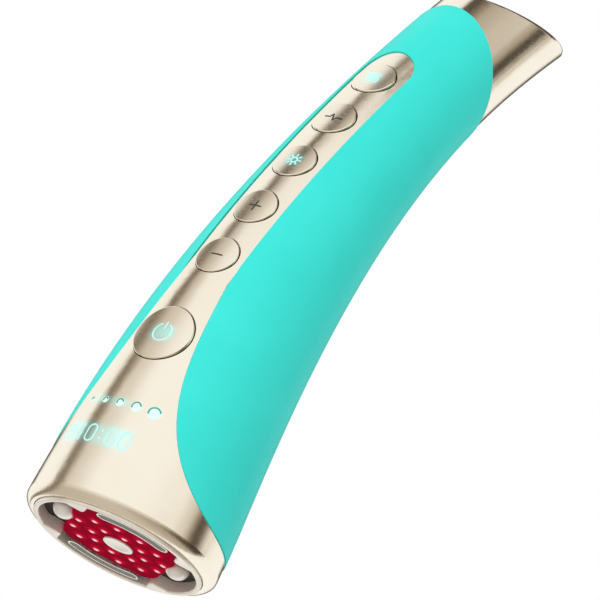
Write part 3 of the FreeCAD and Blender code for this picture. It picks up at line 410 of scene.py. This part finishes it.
READOUT_LEVEL = 0.0171
DIGITS_MIDDLE = -0.0003
DIGITS_HALF_WIDTH = 0.0064
CLOCK_ROOM = 0.0025
READOUT_GLOW_HALF_WIDTH = DIGITS_HALF_WIDTH + CLOCK_ROOM
READOUT_GLOW_HALF_HEIGHT = 0.0018
READOUT_GLOW_REACH = 0.0026
READOUT_GLOW = 0.5
LEVEL_DOTS_AT = 0.0261
DOTS_GLOW_MIDDLE = -0.004
DOTS_GLOW_HALF_WIDTH = 0.0055
DOTS_GLOW_HALF_HEIGHT = 0.0004
DOTS_GLOW_REACH = 0.0022
DOTS_GLOW = 0.4

front_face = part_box("front_housing")[0].y
readout_middle = (DIGITS_MIDDLE - CLOCK_ROOM, front_face, READOUT_LEVEL)
dots_middle = (DOTS_GLOW_MIDDLE, front_face, LEVEL_DOTS_AT)
housing_gold = gold_skin("housing_gold", [
    (readout_middle, READOUT_GLOW_HALF_WIDTH, READOUT_GLOW_HALF_HEIGHT, READOUT_GLOW_REACH, READOUT_GLOW),
    (dots_middle, DOTS_GLOW_HALF_WIDTH, DOTS_GLOW_HALF_HEIGHT, DOTS_GLOW_REACH, DOTS_GLOW),
])
dress(housing_gold, "front_housing")

# The level lights are one clear acrylic light pipe whose five rods come through the gold, lit pale cyan.
# Behind it sit the indicator LEDs and the readout, on the display board.

PIPE_CYAN = (0.74, 0.95, 0.92)
PIPE_CLOUD_PER_METRE = 700


def lit_from_inside(name, body, roughness, colour, cloud_per_metre, dimmest):
    """A clear finish lit from inside, a little uneven in its light."""
    material, tree, shader = finish_of(name, body, roughness)
    cloud = spread_in(tree, noise_in(tree, cloud_per_metre), dimmest, 1.0)
    tree.links.new(cloud, shader.inputs["Emission Strength"])
    shader.inputs["Emission Color"].default_value = (*colour, 1)
    return material


pipe_lit = lit_from_inside("pipe_lit", (0.05, 0.1, 0.1), 0.3, PIPE_CYAN, PIPE_CLOUD_PER_METRE, 0.92)
dress(pipe_lit, "level_light_pipe")

# The readout's figures show through the gold skin where it is etched thin: a small clock and the minutes
# left, in pale cyan strokes.

MARK_LIFT = 3e-5
MARK_SINK = 1e-4
STROKE_STEP = 0.0002
STROKE_TIPS = (0.4, 0.75, 0.95, 0.998)


def skin_tree(*names):
    """The CAD surface of some nodes, to lay marks on."""
    points = []
    faces = []
    for name in names:
        start = len(points)
        mesh = nodes[name].data
        points += [vertex.co.copy() for vertex in mesh.vertices]
        faces += [[start + i for i in face.vertices] for face in mesh.polygons]
    return BVHTree.FromPolygons(points, faces)


def evenly(points, closed):
    """The points of a stroke, set close enough together to follow a curved skin."""
    ring = points + points[:1] if closed else points
    close = []
    for first, second in zip(ring, ring[1:]):
        count = max(1, math.ceil((second - first).length / STROKE_STEP))
        close += [first.lerp(second, i / count) for i in range(count)]
    return close if closed else close + ring[-1:]


def stroke_into(marks, points, half_width, closed, lay):
    """One stroke of a mark, as a thin bar let into the skin. Its open ends are round."""
    line = [(point, 1.0) for point in evenly([Vector(p) for p in points], closed)]
    if not closed:
        for end, neighbour in ((0, 1), (-1, -2)):
            way = (line[end][0] - line[neighbour][0]).normalized()
            tips = [(line[end][0] + way * half_width * reach, math.sqrt(1 - reach * reach))
                    for reach in STROKE_TIPS]
            line = tips[::-1] + line if end == 0 else line + tips
    count = len(line)
    rings = []
    for i, (point, share) in enumerate(line):
        before = line[i - 1][0] if closed or i else point
        after = line[(i + 1) % count][0] if closed or i < count - 1 else point
        way = (after - before).normalized()
        side = Vector((-way.y, way.x)) * half_width * share
        corners = [(point + side, MARK_LIFT), (point - side, MARK_LIFT),
                   (point - side, -MARK_SINK), (point + side, -MARK_SINK)]
        rings.append([marks.verts.new(lay(spot, lift)) for spot, lift in corners])
    for i in range(count if closed else count - 1):
        near, far = rings[i], rings[(i + 1) % count]
        for j in range(4):
            marks.faces.new((near[j], near[(j + 1) % 4], far[(j + 1) % 4], far[j]))
    if not closed:
        marks.faces.new(rings[0])
        marks.faces.new(rings[-1])


def arc_points(middle, radius, start, end, count=24):
    """Points round part of a circle, in degrees."""
    angles = [math.radians(start + (end - start) * i / count) for i in range(count + 1)]
    return [(middle[0] + radius * math.cos(a), middle[1] + radius * math.sin(a)) for a in angles]


def ring_points(middle, radius, count):
    """Points round a whole circle."""
    return arc_points(middle, radius, 0, 360, count)[:-1]


def front_lay(spot, lift):
    """A place on the gold front, from its distance across and its height."""
    hit, normal, _, _ = front_skin.ray_cast(Vector((spot.x, 2 * front_face, spot.y)), Vector((0, 1, 0)))
    return hit + normal * lift


def oval_points(middle, half_width, half_height):
    """A figure nought: two half circles joined by straight sides."""
    straight = half_height - half_width
    top = arc_points((middle[0], middle[1] + straight), half_width, 0, 180, OVAL_STEPS)
    return top + arc_points((middle[0], middle[1] - straight), half_width, 180, 360, OVAL_STEPS)


MARK_CYAN = (0.55, 0.94, 0.9)
MARK_CLOUD_PER_METRE = 900
OVAL_STEPS = 14
FIGURE_HALF_WIDTH = 0.00125
FIGURE_HALF_HEIGHT = 0.0022
FIGURE_PITCH = 0.0036
COLON_ROOM = 0.0012
COLON_HALF_GAP = 0.001
COLON_DOT_R = 0.0003
COLON_DOT_RUN = 0.0001
FIGURE_STROKE = 0.0002
ONE_FLAG_ACROSS = 0.0009
ONE_FLAG_DROP = 0.0008
CLOCK_AT = -0.0104
CLOCK_R = 0.0018
CLOCK_STEPS = 36
CLOCK_LONG_HAND = 0.0011
CLOCK_SHORT_HAND = 0.0009

lit_mark = lit_from_inside("lit_mark", (0.02, 0.1, 0.1), 0.4, MARK_CYAN, MARK_CLOUD_PER_METRE, 0.85)
front_skin = skin_tree("front_housing", "level_light_pipe")
figures = bmesh.new()
one_place, *nought_places = [DIGITS_MIDDLE + side * COLON_ROOM + FIGURE_PITCH * step
                             for side, step in ((-1, -1.5), (-1, -0.5), (1, 0.5), (1, 1.5))]
one_at = one_place + FIGURE_HALF_WIDTH * 0.5
top = READOUT_LEVEL + FIGURE_HALF_HEIGHT
foot = READOUT_LEVEL - FIGURE_HALF_HEIGHT
one = [(one_at - ONE_FLAG_ACROSS, top - ONE_FLAG_DROP), (one_at, top), (one_at, foot)]
stroke_into(figures, one, FIGURE_STROKE, False, front_lay)
for at in nought_places:
    nought = oval_points((at, READOUT_LEVEL), FIGURE_HALF_WIDTH, FIGURE_HALF_HEIGHT)
    stroke_into(figures, nought[:-1], FIGURE_STROKE, True, front_lay)
for level in (READOUT_LEVEL - COLON_HALF_GAP, READOUT_LEVEL + COLON_HALF_GAP):
    dot = [(DIGITS_MIDDLE, level), (DIGITS_MIDDLE + COLON_DOT_RUN, level)]
    stroke_into(figures, dot, COLON_DOT_R, False, front_lay)
clock_middle = (CLOCK_AT, READOUT_LEVEL)
stroke_into(figures, ring_points(clock_middle, CLOCK_R, CLOCK_STEPS), FIGURE_STROKE, True, front_lay)
long_hand = (CLOCK_AT, READOUT_LEVEL + CLOCK_LONG_HAND)
short_hand = (CLOCK_AT + CLOCK_SHORT_HAND, READOUT_LEVEL)
stroke_into(figures, [long_hand, clock_middle, short_hand], FIGURE_STROKE, False, front_lay)
piece_from("readout_figures", figures, lit_mark, "wand")

# A thin dark teal crescent is painted on the tail side of each level light and laid into the gold round the
# rod. It is painted shade, where the wall of the light's hole would shade it.

DOT_COUNT = 5
DOT_PITCH = 0.0045
FIRST_DOT_R = 0.0006
DOT_GROWTH = 0.00025
CRESCENT_STROKE = 0.0002
CRESCENT_INSET = 0.00008
CRESCENT_FROM_TO = (25, 205)

# This dark teal is painted shade on the tail side of each level light.
shade_cyan = moulded("shade_cyan", (0.06, 0.36, 0.31), 0.5, 2400, 4e-6)
shade_crescents = bmesh.new()
for i in range(DOT_COUNT):
    dot_x = (i - (DOT_COUNT - 1) / 2) * DOT_PITCH
    dot_r = FIRST_DOT_R + DOT_GROWTH * i - CRESCENT_STROKE - CRESCENT_INSET
    shade_crescent = arc_points((dot_x, LEVEL_DOTS_AT), dot_r, *CRESCENT_FROM_TO)
    stroke_into(shade_crescents, shade_crescent, CRESCENT_STROKE, False, front_lay)
piece_from("level_shade_crescents", shade_crescents, shade_cyan, "wand")

# The six keys are metallised like the housing and stand a little proud of it, flatter than the strip. Each
# presses a small plunger that clicks a switch on the key board and springs back.

KEY_STROKE = 0.0002
POWER_RING_R = 0.0024
POWER_RING_FROM_TO = (118, 422)
POWER_RING_STEPS = 40
POWER_BAR_FROM = 0.0009
POWER_BAR_PAST_RING = 0.0004
BAR_HALF = 0.0015
SUN_R = 0.0008
SUN_STEPS = 24
SUN_RAYS = 8
SUN_RAY_FROM_TO = (0.0013, 0.0018)
HEAT_WAVES_AT = (-0.0013, 0, 0.0013)
HEAT_WAVE_LENGTH = 0.003
HEAT_WAVE_SWING = 0.00035
HEAT_WAVE_STEPS = 12
PULSE_LINE = [(-0.0024, 0), (-0.0011, 0), (-0.0006, 0.0011), (0.0003, -0.0011), (0.0008, 0), (0.0024, 0)]
POWER_GLOW_HALF_WIDTH, POWER_GLOW_REACH = 0.002, 0.0028
KEY_GLOW_HALF_WIDTH, KEY_GLOW_REACH = 0.0012, 0.0022
KEY_GLOW_HALF_HEIGHT = 0.0008
KEY_GLOW = 0.75
ABOVE_KEY = 0.02

dress(chip_black, *[name for name in nodes if name.endswith("_plunger")])
press_ways = {joint["name"]: Vector(joint["axis"]) for joint in frame["joints"]}
dark_mark = moulded("dark_mark", (0.03, 0.03, 0.035), 0.45, 2600, 6e-6)


def key_spot(name):
    """The key's axis: a point on it, and the ways across, towards the tail and out."""
    low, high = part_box(name + "_plunger")
    out = -press_ways[name + "_press"].normalized()
    across = Vector((1, 0, 0))
    return (low + high) / 2, across, out.cross(across), out


def key_lay(name):
    """How a mark's points are laid on the key's face."""
    skin = skin_tree(name + "_key")
    origin, across, along, out = key_spot(name)

    def lay(spot, lift):
        start = origin + across * spot.x + along * spot.y + out * ABOVE_KEY
        return skin.ray_cast(start, -out)[0] + out * lift
    return lay


def heat_wave(across):
    """Points of one upright wave of heat."""
    points = []
    for i in range(HEAT_WAVE_STEPS + 1):
        share = i / HEAT_WAVE_STEPS
        sway = HEAT_WAVE_SWING * math.sin(2 * math.pi * share)
        points.append((across + sway, HEAT_WAVE_LENGTH * (share - 0.5)))
    return points


power_ring = arc_points((0, 0), POWER_RING_R, *POWER_RING_FROM_TO, POWER_RING_STEPS)
power_bar = [(0, POWER_BAR_FROM), (0, POWER_RING_R + POWER_BAR_PAST_RING)]
level_bar = [(-BAR_HALF, 0), (BAR_HALF, 0)]
upright_bar = [(0, -BAR_HALF), (0, BAR_HALF)]
sun_ring = ring_points((0, 0), SUN_R, SUN_STEPS)
sun_rays = []
for ray in range(SUN_RAYS):
    angle = 2 * math.pi * ray / SUN_RAYS
    sun_rays.append([(out * math.cos(angle), out * math.sin(angle)) for out in SUN_RAY_FROM_TO])
key_marks = {
    "power": ([power_ring, power_bar], lit_mark),
    "minus": ([level_bar], dark_mark),
    "plus": ([level_bar, upright_bar], dark_mark),
    "light": ([sun_ring] + sun_rays, lit_mark),
    "pulse": ([PULSE_LINE], dark_mark),
    "heat": ([heat_wave(across) for across in HEAT_WAVES_AT], lit_mark),
}
for name, (strokes, material) in key_marks.items():
    lay = key_lay(name)
    marks = bmesh.new()
    for points in strokes:
        stroke_into(marks, points, KEY_STROKE, points is sun_ring, lay)
    is_lit = material is lit_mark
    piece_from(name + "_mark", marks, material, name + "_button")
    face_middle = lay(Vector((0, 0)), 0)
    half_width, reach = KEY_GLOW_HALF_WIDTH, KEY_GLOW_REACH
    if name == "power":
        half_width, reach = POWER_GLOW_HALF_WIDTH, POWER_GLOW_REACH
    glow = [(face_middle, half_width, KEY_GLOW_HALF_HEIGHT, reach, KEY_GLOW)] if is_lit else []
    dress(gold_skin(name + "_gold", glow), name + "_key")

# The grip shell is moulded plastic under a soft-touch teal lacquer with a very fine grain. It wraps the
# sides and the back and is held by the front housing's lip and the tail's collar.

TEAL = (0.05, 0.81, 0.72)
DEEP_TEAL = (0.046, 0.79, 0.702)
PALE_TEAL = (0.054, 0.83, 0.738)
TEAL_DRIFT_PER_METRE = 60
TEAL_GRAIN_PER_METRE = 3600
TEAL_GRAIN_DEPTH = 8e-6
TEAL_ROUGH_FROM_TO = (0.4, 0.52)
TEAL_SHINE = 0.08

teal_lacquer, tree, shader = finish_of("teal_lacquer", TEAL, 0.46)
drift = spread_in(tree, noise_in(tree, TEAL_DRIFT_PER_METRE), 0.0, 1.0)
tree.links.new(tint_in(tree, drift, DEEP_TEAL, PALE_TEAL), shader.inputs["Base Color"])
grain = noise_in(tree, TEAL_GRAIN_PER_METRE, GRAIN_DETAIL)
tree.links.new(spread_in(tree, grain, *TEAL_ROUGH_FROM_TO), shader.inputs["Roughness"])
raise_in(tree, shader, grain, TEAL_GRAIN_DEPTH)
shader.inputs["Specular IOR Level"].default_value = TEAL_SHINE
dress(teal_lacquer, "grip_shell")

# The tail cap is metallised gold like the housing. Its collar plugs into the grip shell, and a plate closes
# its slanted end round the charging inlet.

dress(gold_skin("tail_gold"), "tail_cap", "tail_plate")
dress(moulded("inlet_steel", (0.62, 0.62, 0.61), 0.28, 2000, 5e-6, 1.0), "charge_port")

# The floor is a pale round board. It shows from above only, and lets light through, so that the head is lit
# from below as it is when the wand is held.

FLOOR_R = 1.6
FLOOR_STEPS = 96
FLOOR_DROP = 0.0003
FLOOR_PALE = (0.86, 0.86, 0.85)

floor_mesh = bpy.data.meshes.new("floor")
disc = bmesh.new()
bmesh.ops.create_circle(disc, cap_ends=True, segments=FLOOR_STEPS, radius=FLOOR_R)
disc.to_mesh(floor_mesh)
disc.free()
floor = bpy.data.objects.new("floor", floor_mesh)
floor.location.z = -FLOOR_DROP
bpy.context.scene.collection.objects.link(floor)
floor_paint, tree, shader = finish_of("floor_paint", FLOOR_PALE, 0.7)
face = node_in(tree, "ShaderNodeNewGeometry")
clear = node_in(tree, "ShaderNodeBsdfTransparent")
sides = node_in(tree, "ShaderNodeMixShader")
tree.links.new(face.outputs["Backfacing"], sides.inputs[0])
tree.links.new(shader.outputs[0], sides.inputs[1])
tree.links.new(clear.outputs[0], sides.inputs[2])
tree.links.new(sides.outputs[0], tree.nodes["Material Output"].inputs[0])
floor_mesh.materials.append(floor_paint)
for ray in ("diffuse", "glossy", "transmission", "shadow"):
    setattr(floor, "visible_" + ray, False)

# The camera stands where the photograph was taken from: low, in front and to the right. It is a long way off
# with a long lens, and is turned so that the wand lies from the lower left to the upper right.

VIEW_RIGHT = Vector((0.78228, 0.45026, 0.43048))
VIEW_UP = Vector((-0.17871, -0.4998, 0.84751))
VIEW_AIM_RIGHT = 0.041879
VIEW_AIM_UP = 0.056683
VIEW_DISTANCE = 2.31
VIEW_LENS = 607

view_back = VIEW_RIGHT.cross(VIEW_UP).normalized()
aim = VIEW_RIGHT * VIEW_AIM_RIGHT + VIEW_UP * VIEW_AIM_UP
camera = bpy.data.objects.new("camera", bpy.data.cameras.new("camera"))
bpy.context.scene.collection.objects.link(camera)
camera.data.lens = VIEW_LENS
turned = Matrix((VIEW_RIGHT.normalized(), view_back.cross(VIEW_RIGHT).normalized(), view_back)).transposed()
camera.matrix_world = Matrix.Translation(aim + view_back * VIEW_DISTANCE) @ turned.to_4x4()
bpy.context.scene.camera = camera
bpy.context.scene.view_settings.view_transform = "Standard"

# Plain soft studio light: a white surround, and one large soft lamp up on the left. The metal shows the
# surround as white as the camera sees it, and doesn't show the lamp.

SURROUND = 0.71
LAMP_POWER = 7.9
LAMP_ACROSS = 0.9
LAMP_BACK = 1.0
LAMP_LEFT = 0.5
LAMP_UP = 0.9

world = bpy.data.worlds.new("surround")
bpy.context.scene.world = world
world.use_nodes = True
tree = world.node_tree
path = node_in(tree, "ShaderNodeLightPath")
seen = sum_in(tree, "MAXIMUM", path.outputs["Is Camera Ray"], path.outputs["Is Glossy Ray"],
              path.outputs["Is Transmission Ray"])
backdrop = tree.nodes["Background"]
backdrop.inputs["Color"].default_value = (1, 1, 1, 1)
tree.links.new(spread_in(tree, seen, SURROUND, 1.0, 0.0, 1.0), backdrop.inputs["Strength"])

lamp = bpy.data.objects.new("key_lamp", bpy.data.lights.new("key_lamp", "AREA"))
lamp.data.shape = "DISK"
lamp.data.size = LAMP_ACROSS
lamp.data.energy = LAMP_POWER
lamp.location = aim + view_back * LAMP_BACK - VIEW_RIGHT * LAMP_LEFT + VIEW_UP * LAMP_UP
lamp.rotation_mode = "QUATERNION"
lamp.rotation_quaternion = (aim - lamp.location).to_track_quat("-Z", "Y")
lamp.visible_glossy = False
bpy.context.scene.collection.objects.link(lamp)

# Dark bent cards stand round the wand, a long way off, and show only in its gloss. They are set out by the
# skin's lean along the wand and its turn from the front. The first card draws the dark line down the key
# strip, the one down the right, the one round the head's edge and the first of the tail's two.

WARM = (1.0, 0.76, 0.5)
CARD_DISTANCE = 3.0
LEAN_STEP = 0.02
TURN_STEP = 1.5
FRONT_LEANS = (-1.4, 0.62)
FRONT_TURNS = (-24, 100)
STREAK_TURN = -13.5
STREAK_TURN_BY_LEAN = 30
STREAK_SWERVE = ((0.24, 0), (0.4, 5), (0.46, 9))
STREAK_HALF = 1
STREAK_LEFT = 5.5
STREAK_SOFT = ((0.05, 26), (0.24, 12))
STREAK_DARK = ((0.05, 0.2), (0.2, 0.16), (0.36, 0.04))
TAN_SHARE = ((0.05, 0.33), (0.2, 0.4))
TAN_LEVEL = ((0.05, 0.76), (0.2, 0.6))
SIDE_LEVEL = ((0.05, 1.0), (0.35, 0.93))
RIGHT_LEVEL = ((0.0, 0.86), (0.1, 1.0))
RIGHT_FROM = (38, 1.0)
RIGHT_TURN = 60
RIGHT_LINE = ((68, 0.75), (77, 0.07), (80, 0.1), (88, 0.9), (95, 1.0))
HEAD_EDGE = ((-22, 1.0), (-10, 0.55), (20, 0.6), (45, 0.45), (65, 0.1), (80, 0.04), (89, 0.4), (97, 1.0))
HEAD_EDGE_SHARE = ((-0.5, 1.0), (-0.25, 0.6), (0.0, 0.0))
TAIL_LINES = ((8, 1.0), (12, 0.04), (17, 0.06), (34, 0.48), (52, 0.58), (76, 0.52), (88, 1.0))
TAIL_FROM_LEAN = 0.475
TAIL_SLANT = 0.0007


def smooth_rise(share):
    """A share from 0 to 1 that starts and ends gently."""
    share = min(1.0, max(0.0, share))
    return share * share * (3 - 2 * share)


def led_through(value, *stops):
    """A level that is led smoothly through stops, each a place and a level."""
    for (first, low), (second, high) in zip(stops, stops[1:]):
        if value <= second:
            return low + (high - low) * smooth_rise((value - first) / (second - first))
    return stops[-1][1]


def card_from(name, rows):
    """A card from rows of places, each with its level of light, a little warm where it is dark."""
    mesh = bpy.data.meshes.new(name)
    across = len(rows[0])
    faces = []
    for i in range(len(rows) - 1):
        for j in range(across - 1):
            first = i * across + j
            faces.append((first, first + 1, first + across + 1, first + across))
    mesh.from_pydata([place for row in rows for place, _ in row], [], faces)
    shade = mesh.attributes.new("shade", "FLOAT", "POINT")
    for spot, level in zip(shade.data, [level for row in rows for _, level in row]):
        spot.value = level
    material = bpy.data.materials.new(name)
    material.use_nodes = True
    tree = material.node_tree
    tree.nodes.remove(tree.nodes["Principled BSDF"])
    lit = node_in(tree, "ShaderNodeEmission")
    level = node_in(tree, "ShaderNodeAttribute", attribute_name="shade").outputs["Fac"]
    tree.links.new(level, lit.inputs["Strength"])
    tree.links.new(tint_in(tree, level, WARM, (1, 1, 1)), lit.inputs["Color"])
    tree.links.new(lit.outputs[0], tree.nodes["Material Output"].inputs[0])
    mesh.materials.append(material)
    card = bpy.data.objects.new(name, mesh)
    bpy.context.scene.collection.objects.link(card)
    for ray in ("camera", "diffuse", "transmission", "shadow"):
        setattr(card, "visible_" + ray, False)


def skin_normal(lean, turn):
    """The way out of the skin where it leans by an angle, at an angle in degrees from the front."""
    front = Vector((0, -math.cos(lean), math.sin(lean)))
    return Vector((math.sin(math.radians(turn)), 0, 0)) + front * math.cos(math.radians(turn))


def from_aim(lean, normal):
    """A far card is set out from the middle of the view."""
    return aim


def steps_between(low, high, step):
    """Even steps from one value to another, none longer than a given step."""
    count = math.ceil((high - low) / step)
    return [low + (high - low) * i / count for i in range(count + 1)]


def bent_card(name, leans, turns, shade, distance, normal_of=skin_normal, start_of=from_aim):
    """A card that stands where the skin throws the view, with its level given for each lean and turn."""
    rows = []
    for lean in steps_between(*leans, LEAN_STEP):
        row = []
        for turn in steps_between(*turns, TURN_STEP):
            normal = normal_of(lean, turn)
            thrown = 2 * normal.dot(view_back) * normal - view_back
            row.append((start_of(lean, normal) + thrown * distance, shade(lean, turn)))
        rows.append(row)
    card_from(name, rows)


def strip_shade(lean, turn):
    """The level down the front: a dark line left of the middle, and a second far to the right."""
    core = STREAK_TURN + STREAK_TURN_BY_LEAN * lean + led_through(lean, *STREAK_SWERVE)
    dark = led_through(lean, *STREAK_DARK)
    soft = led_through(lean, *STREAK_SOFT)
    tan_at = core + soft * led_through(lean, *TAN_SHARE)
    streak = ((core - STREAK_LEFT, 1.0), (core - STREAK_HALF, dark), (core + STREAK_HALF, dark))
    beside = ((tan_at, led_through(lean, *TAN_LEVEL)), (core + soft, led_through(lean, *SIDE_LEVEL)))
    right = (RIGHT_TURN, led_through(lean, *RIGHT_LEVEL))
    return led_through(turn, *streak, *beside, RIGHT_FROM, right, *RIGHT_LINE)


def front_shade(lean, turn):
    """The level over the whole front. The head's edge only darkens it, and the tail has lines of its own."""
    if lean > TAIL_FROM_LEAN - TAIL_SLANT * turn:
        return led_through(turn, *TAIL_LINES)
    level = strip_shade(max(0.0, lean), turn)
    at_edge = led_through(lean, *HEAD_EDGE_SHARE)
    return level + (min(level, led_through(turn, *HEAD_EDGE)) - level) * at_edge


bent_card("front_card", FRONT_LEANS, FRONT_TURNS, front_shade, CARD_DISTANCE)

# The second far card draws the dark line round the tail's rounded end edge. It is set out in the same way,
# by how far the edge has turned over from the side towards the end face.

TAIL_END_LEAN = 0.546
END_FACE_LEAN = -0.152
END_OVERS = (0.14, 0.95)
END_TURNS = (0, 100)
END_EDGE = ((0.14, 0.4), (0.22, 0.06))


def end_edge_normal(over, turn):
    """The way out of the tail's rounded end edge, from the side over towards the end face."""
    end_face = Vector((0, math.sin(END_FACE_LEAN), math.cos(END_FACE_LEAN)))
    return (skin_normal(TAIL_END_LEAN, turn) * math.cos(over) + end_face * math.sin(over)).normalized()


def end_edge_shade(over, turn):
    """The level round the tail's end edge."""
    return led_through(over, *END_EDGE)


bent_card("tail_end_card", END_OVERS, END_TURNS, end_edge_shade, CARD_DISTANCE, end_edge_normal)

# A small card stands nearer on the right, and the tail shows it as its second dark line. It is set out from
# the tail's own skin, since so near a card shows in another place from each spot.

BEND_R = 0.278
BEND_FROM = 0.0232
TAIL_R = 0.01425
NEAR_DISTANCE = 0.6
NEAR_LEANS = (0.3, 0.72)
NEAR_TURNS = (66, 97)
TAIL_RIGHT_LINE = ((66, 0.55), (71, 0.46), (79, 0.05), (83, 0.05), (89, 0.5), (97, 0.64))


def from_tail(lean, normal):
    """The spot on the tail's skin."""
    middle = Vector((0, BEND_R * (1 - math.cos(lean)), BEND_FROM + BEND_R * math.sin(lean)))
    return middle + normal * TAIL_R


def tail_line_shade(lean, turn):
    """The level down the tail's right."""
    return led_through(turn, *TAIL_RIGHT_LINE)


bent_card("tail_line_card", NEAR_LEANS, NEAR_TURNS, tail_line_shade, NEAR_DISTANCE, start_of=from_tail)

# A dark disc stands far behind the wand. It is pale at its rim, and the metal shows it at grazing angles as a
# fine dark line along the outline.

DISC_DISTANCE = 2.0
DISC_R = 1.1
DISC_STEPS = 48
DISC_RINGS = (0.0, 0.3, 0.5, 0.6, 0.7, 0.8, 0.9, 1.0)
DISC_DARK_TO = 0.5
DISC_DARK = 0.04

rows = []
for out in DISC_RINGS:
    level = DISC_DARK + (1 - DISC_DARK) * smooth_rise((out - DISC_DARK_TO) / (1 - DISC_DARK_TO))
    ring = []
    for j in range(DISC_STEPS + 1):
        angle = 2 * math.pi * j / DISC_STEPS
        swing = VIEW_RIGHT * math.cos(angle) + VIEW_UP * math.sin(angle)
        ring.append((aim - view_back * DISC_DISTANCE + swing * DISC_R * out, level))
    rows.append(ring)
card_from("far_disc", rows)
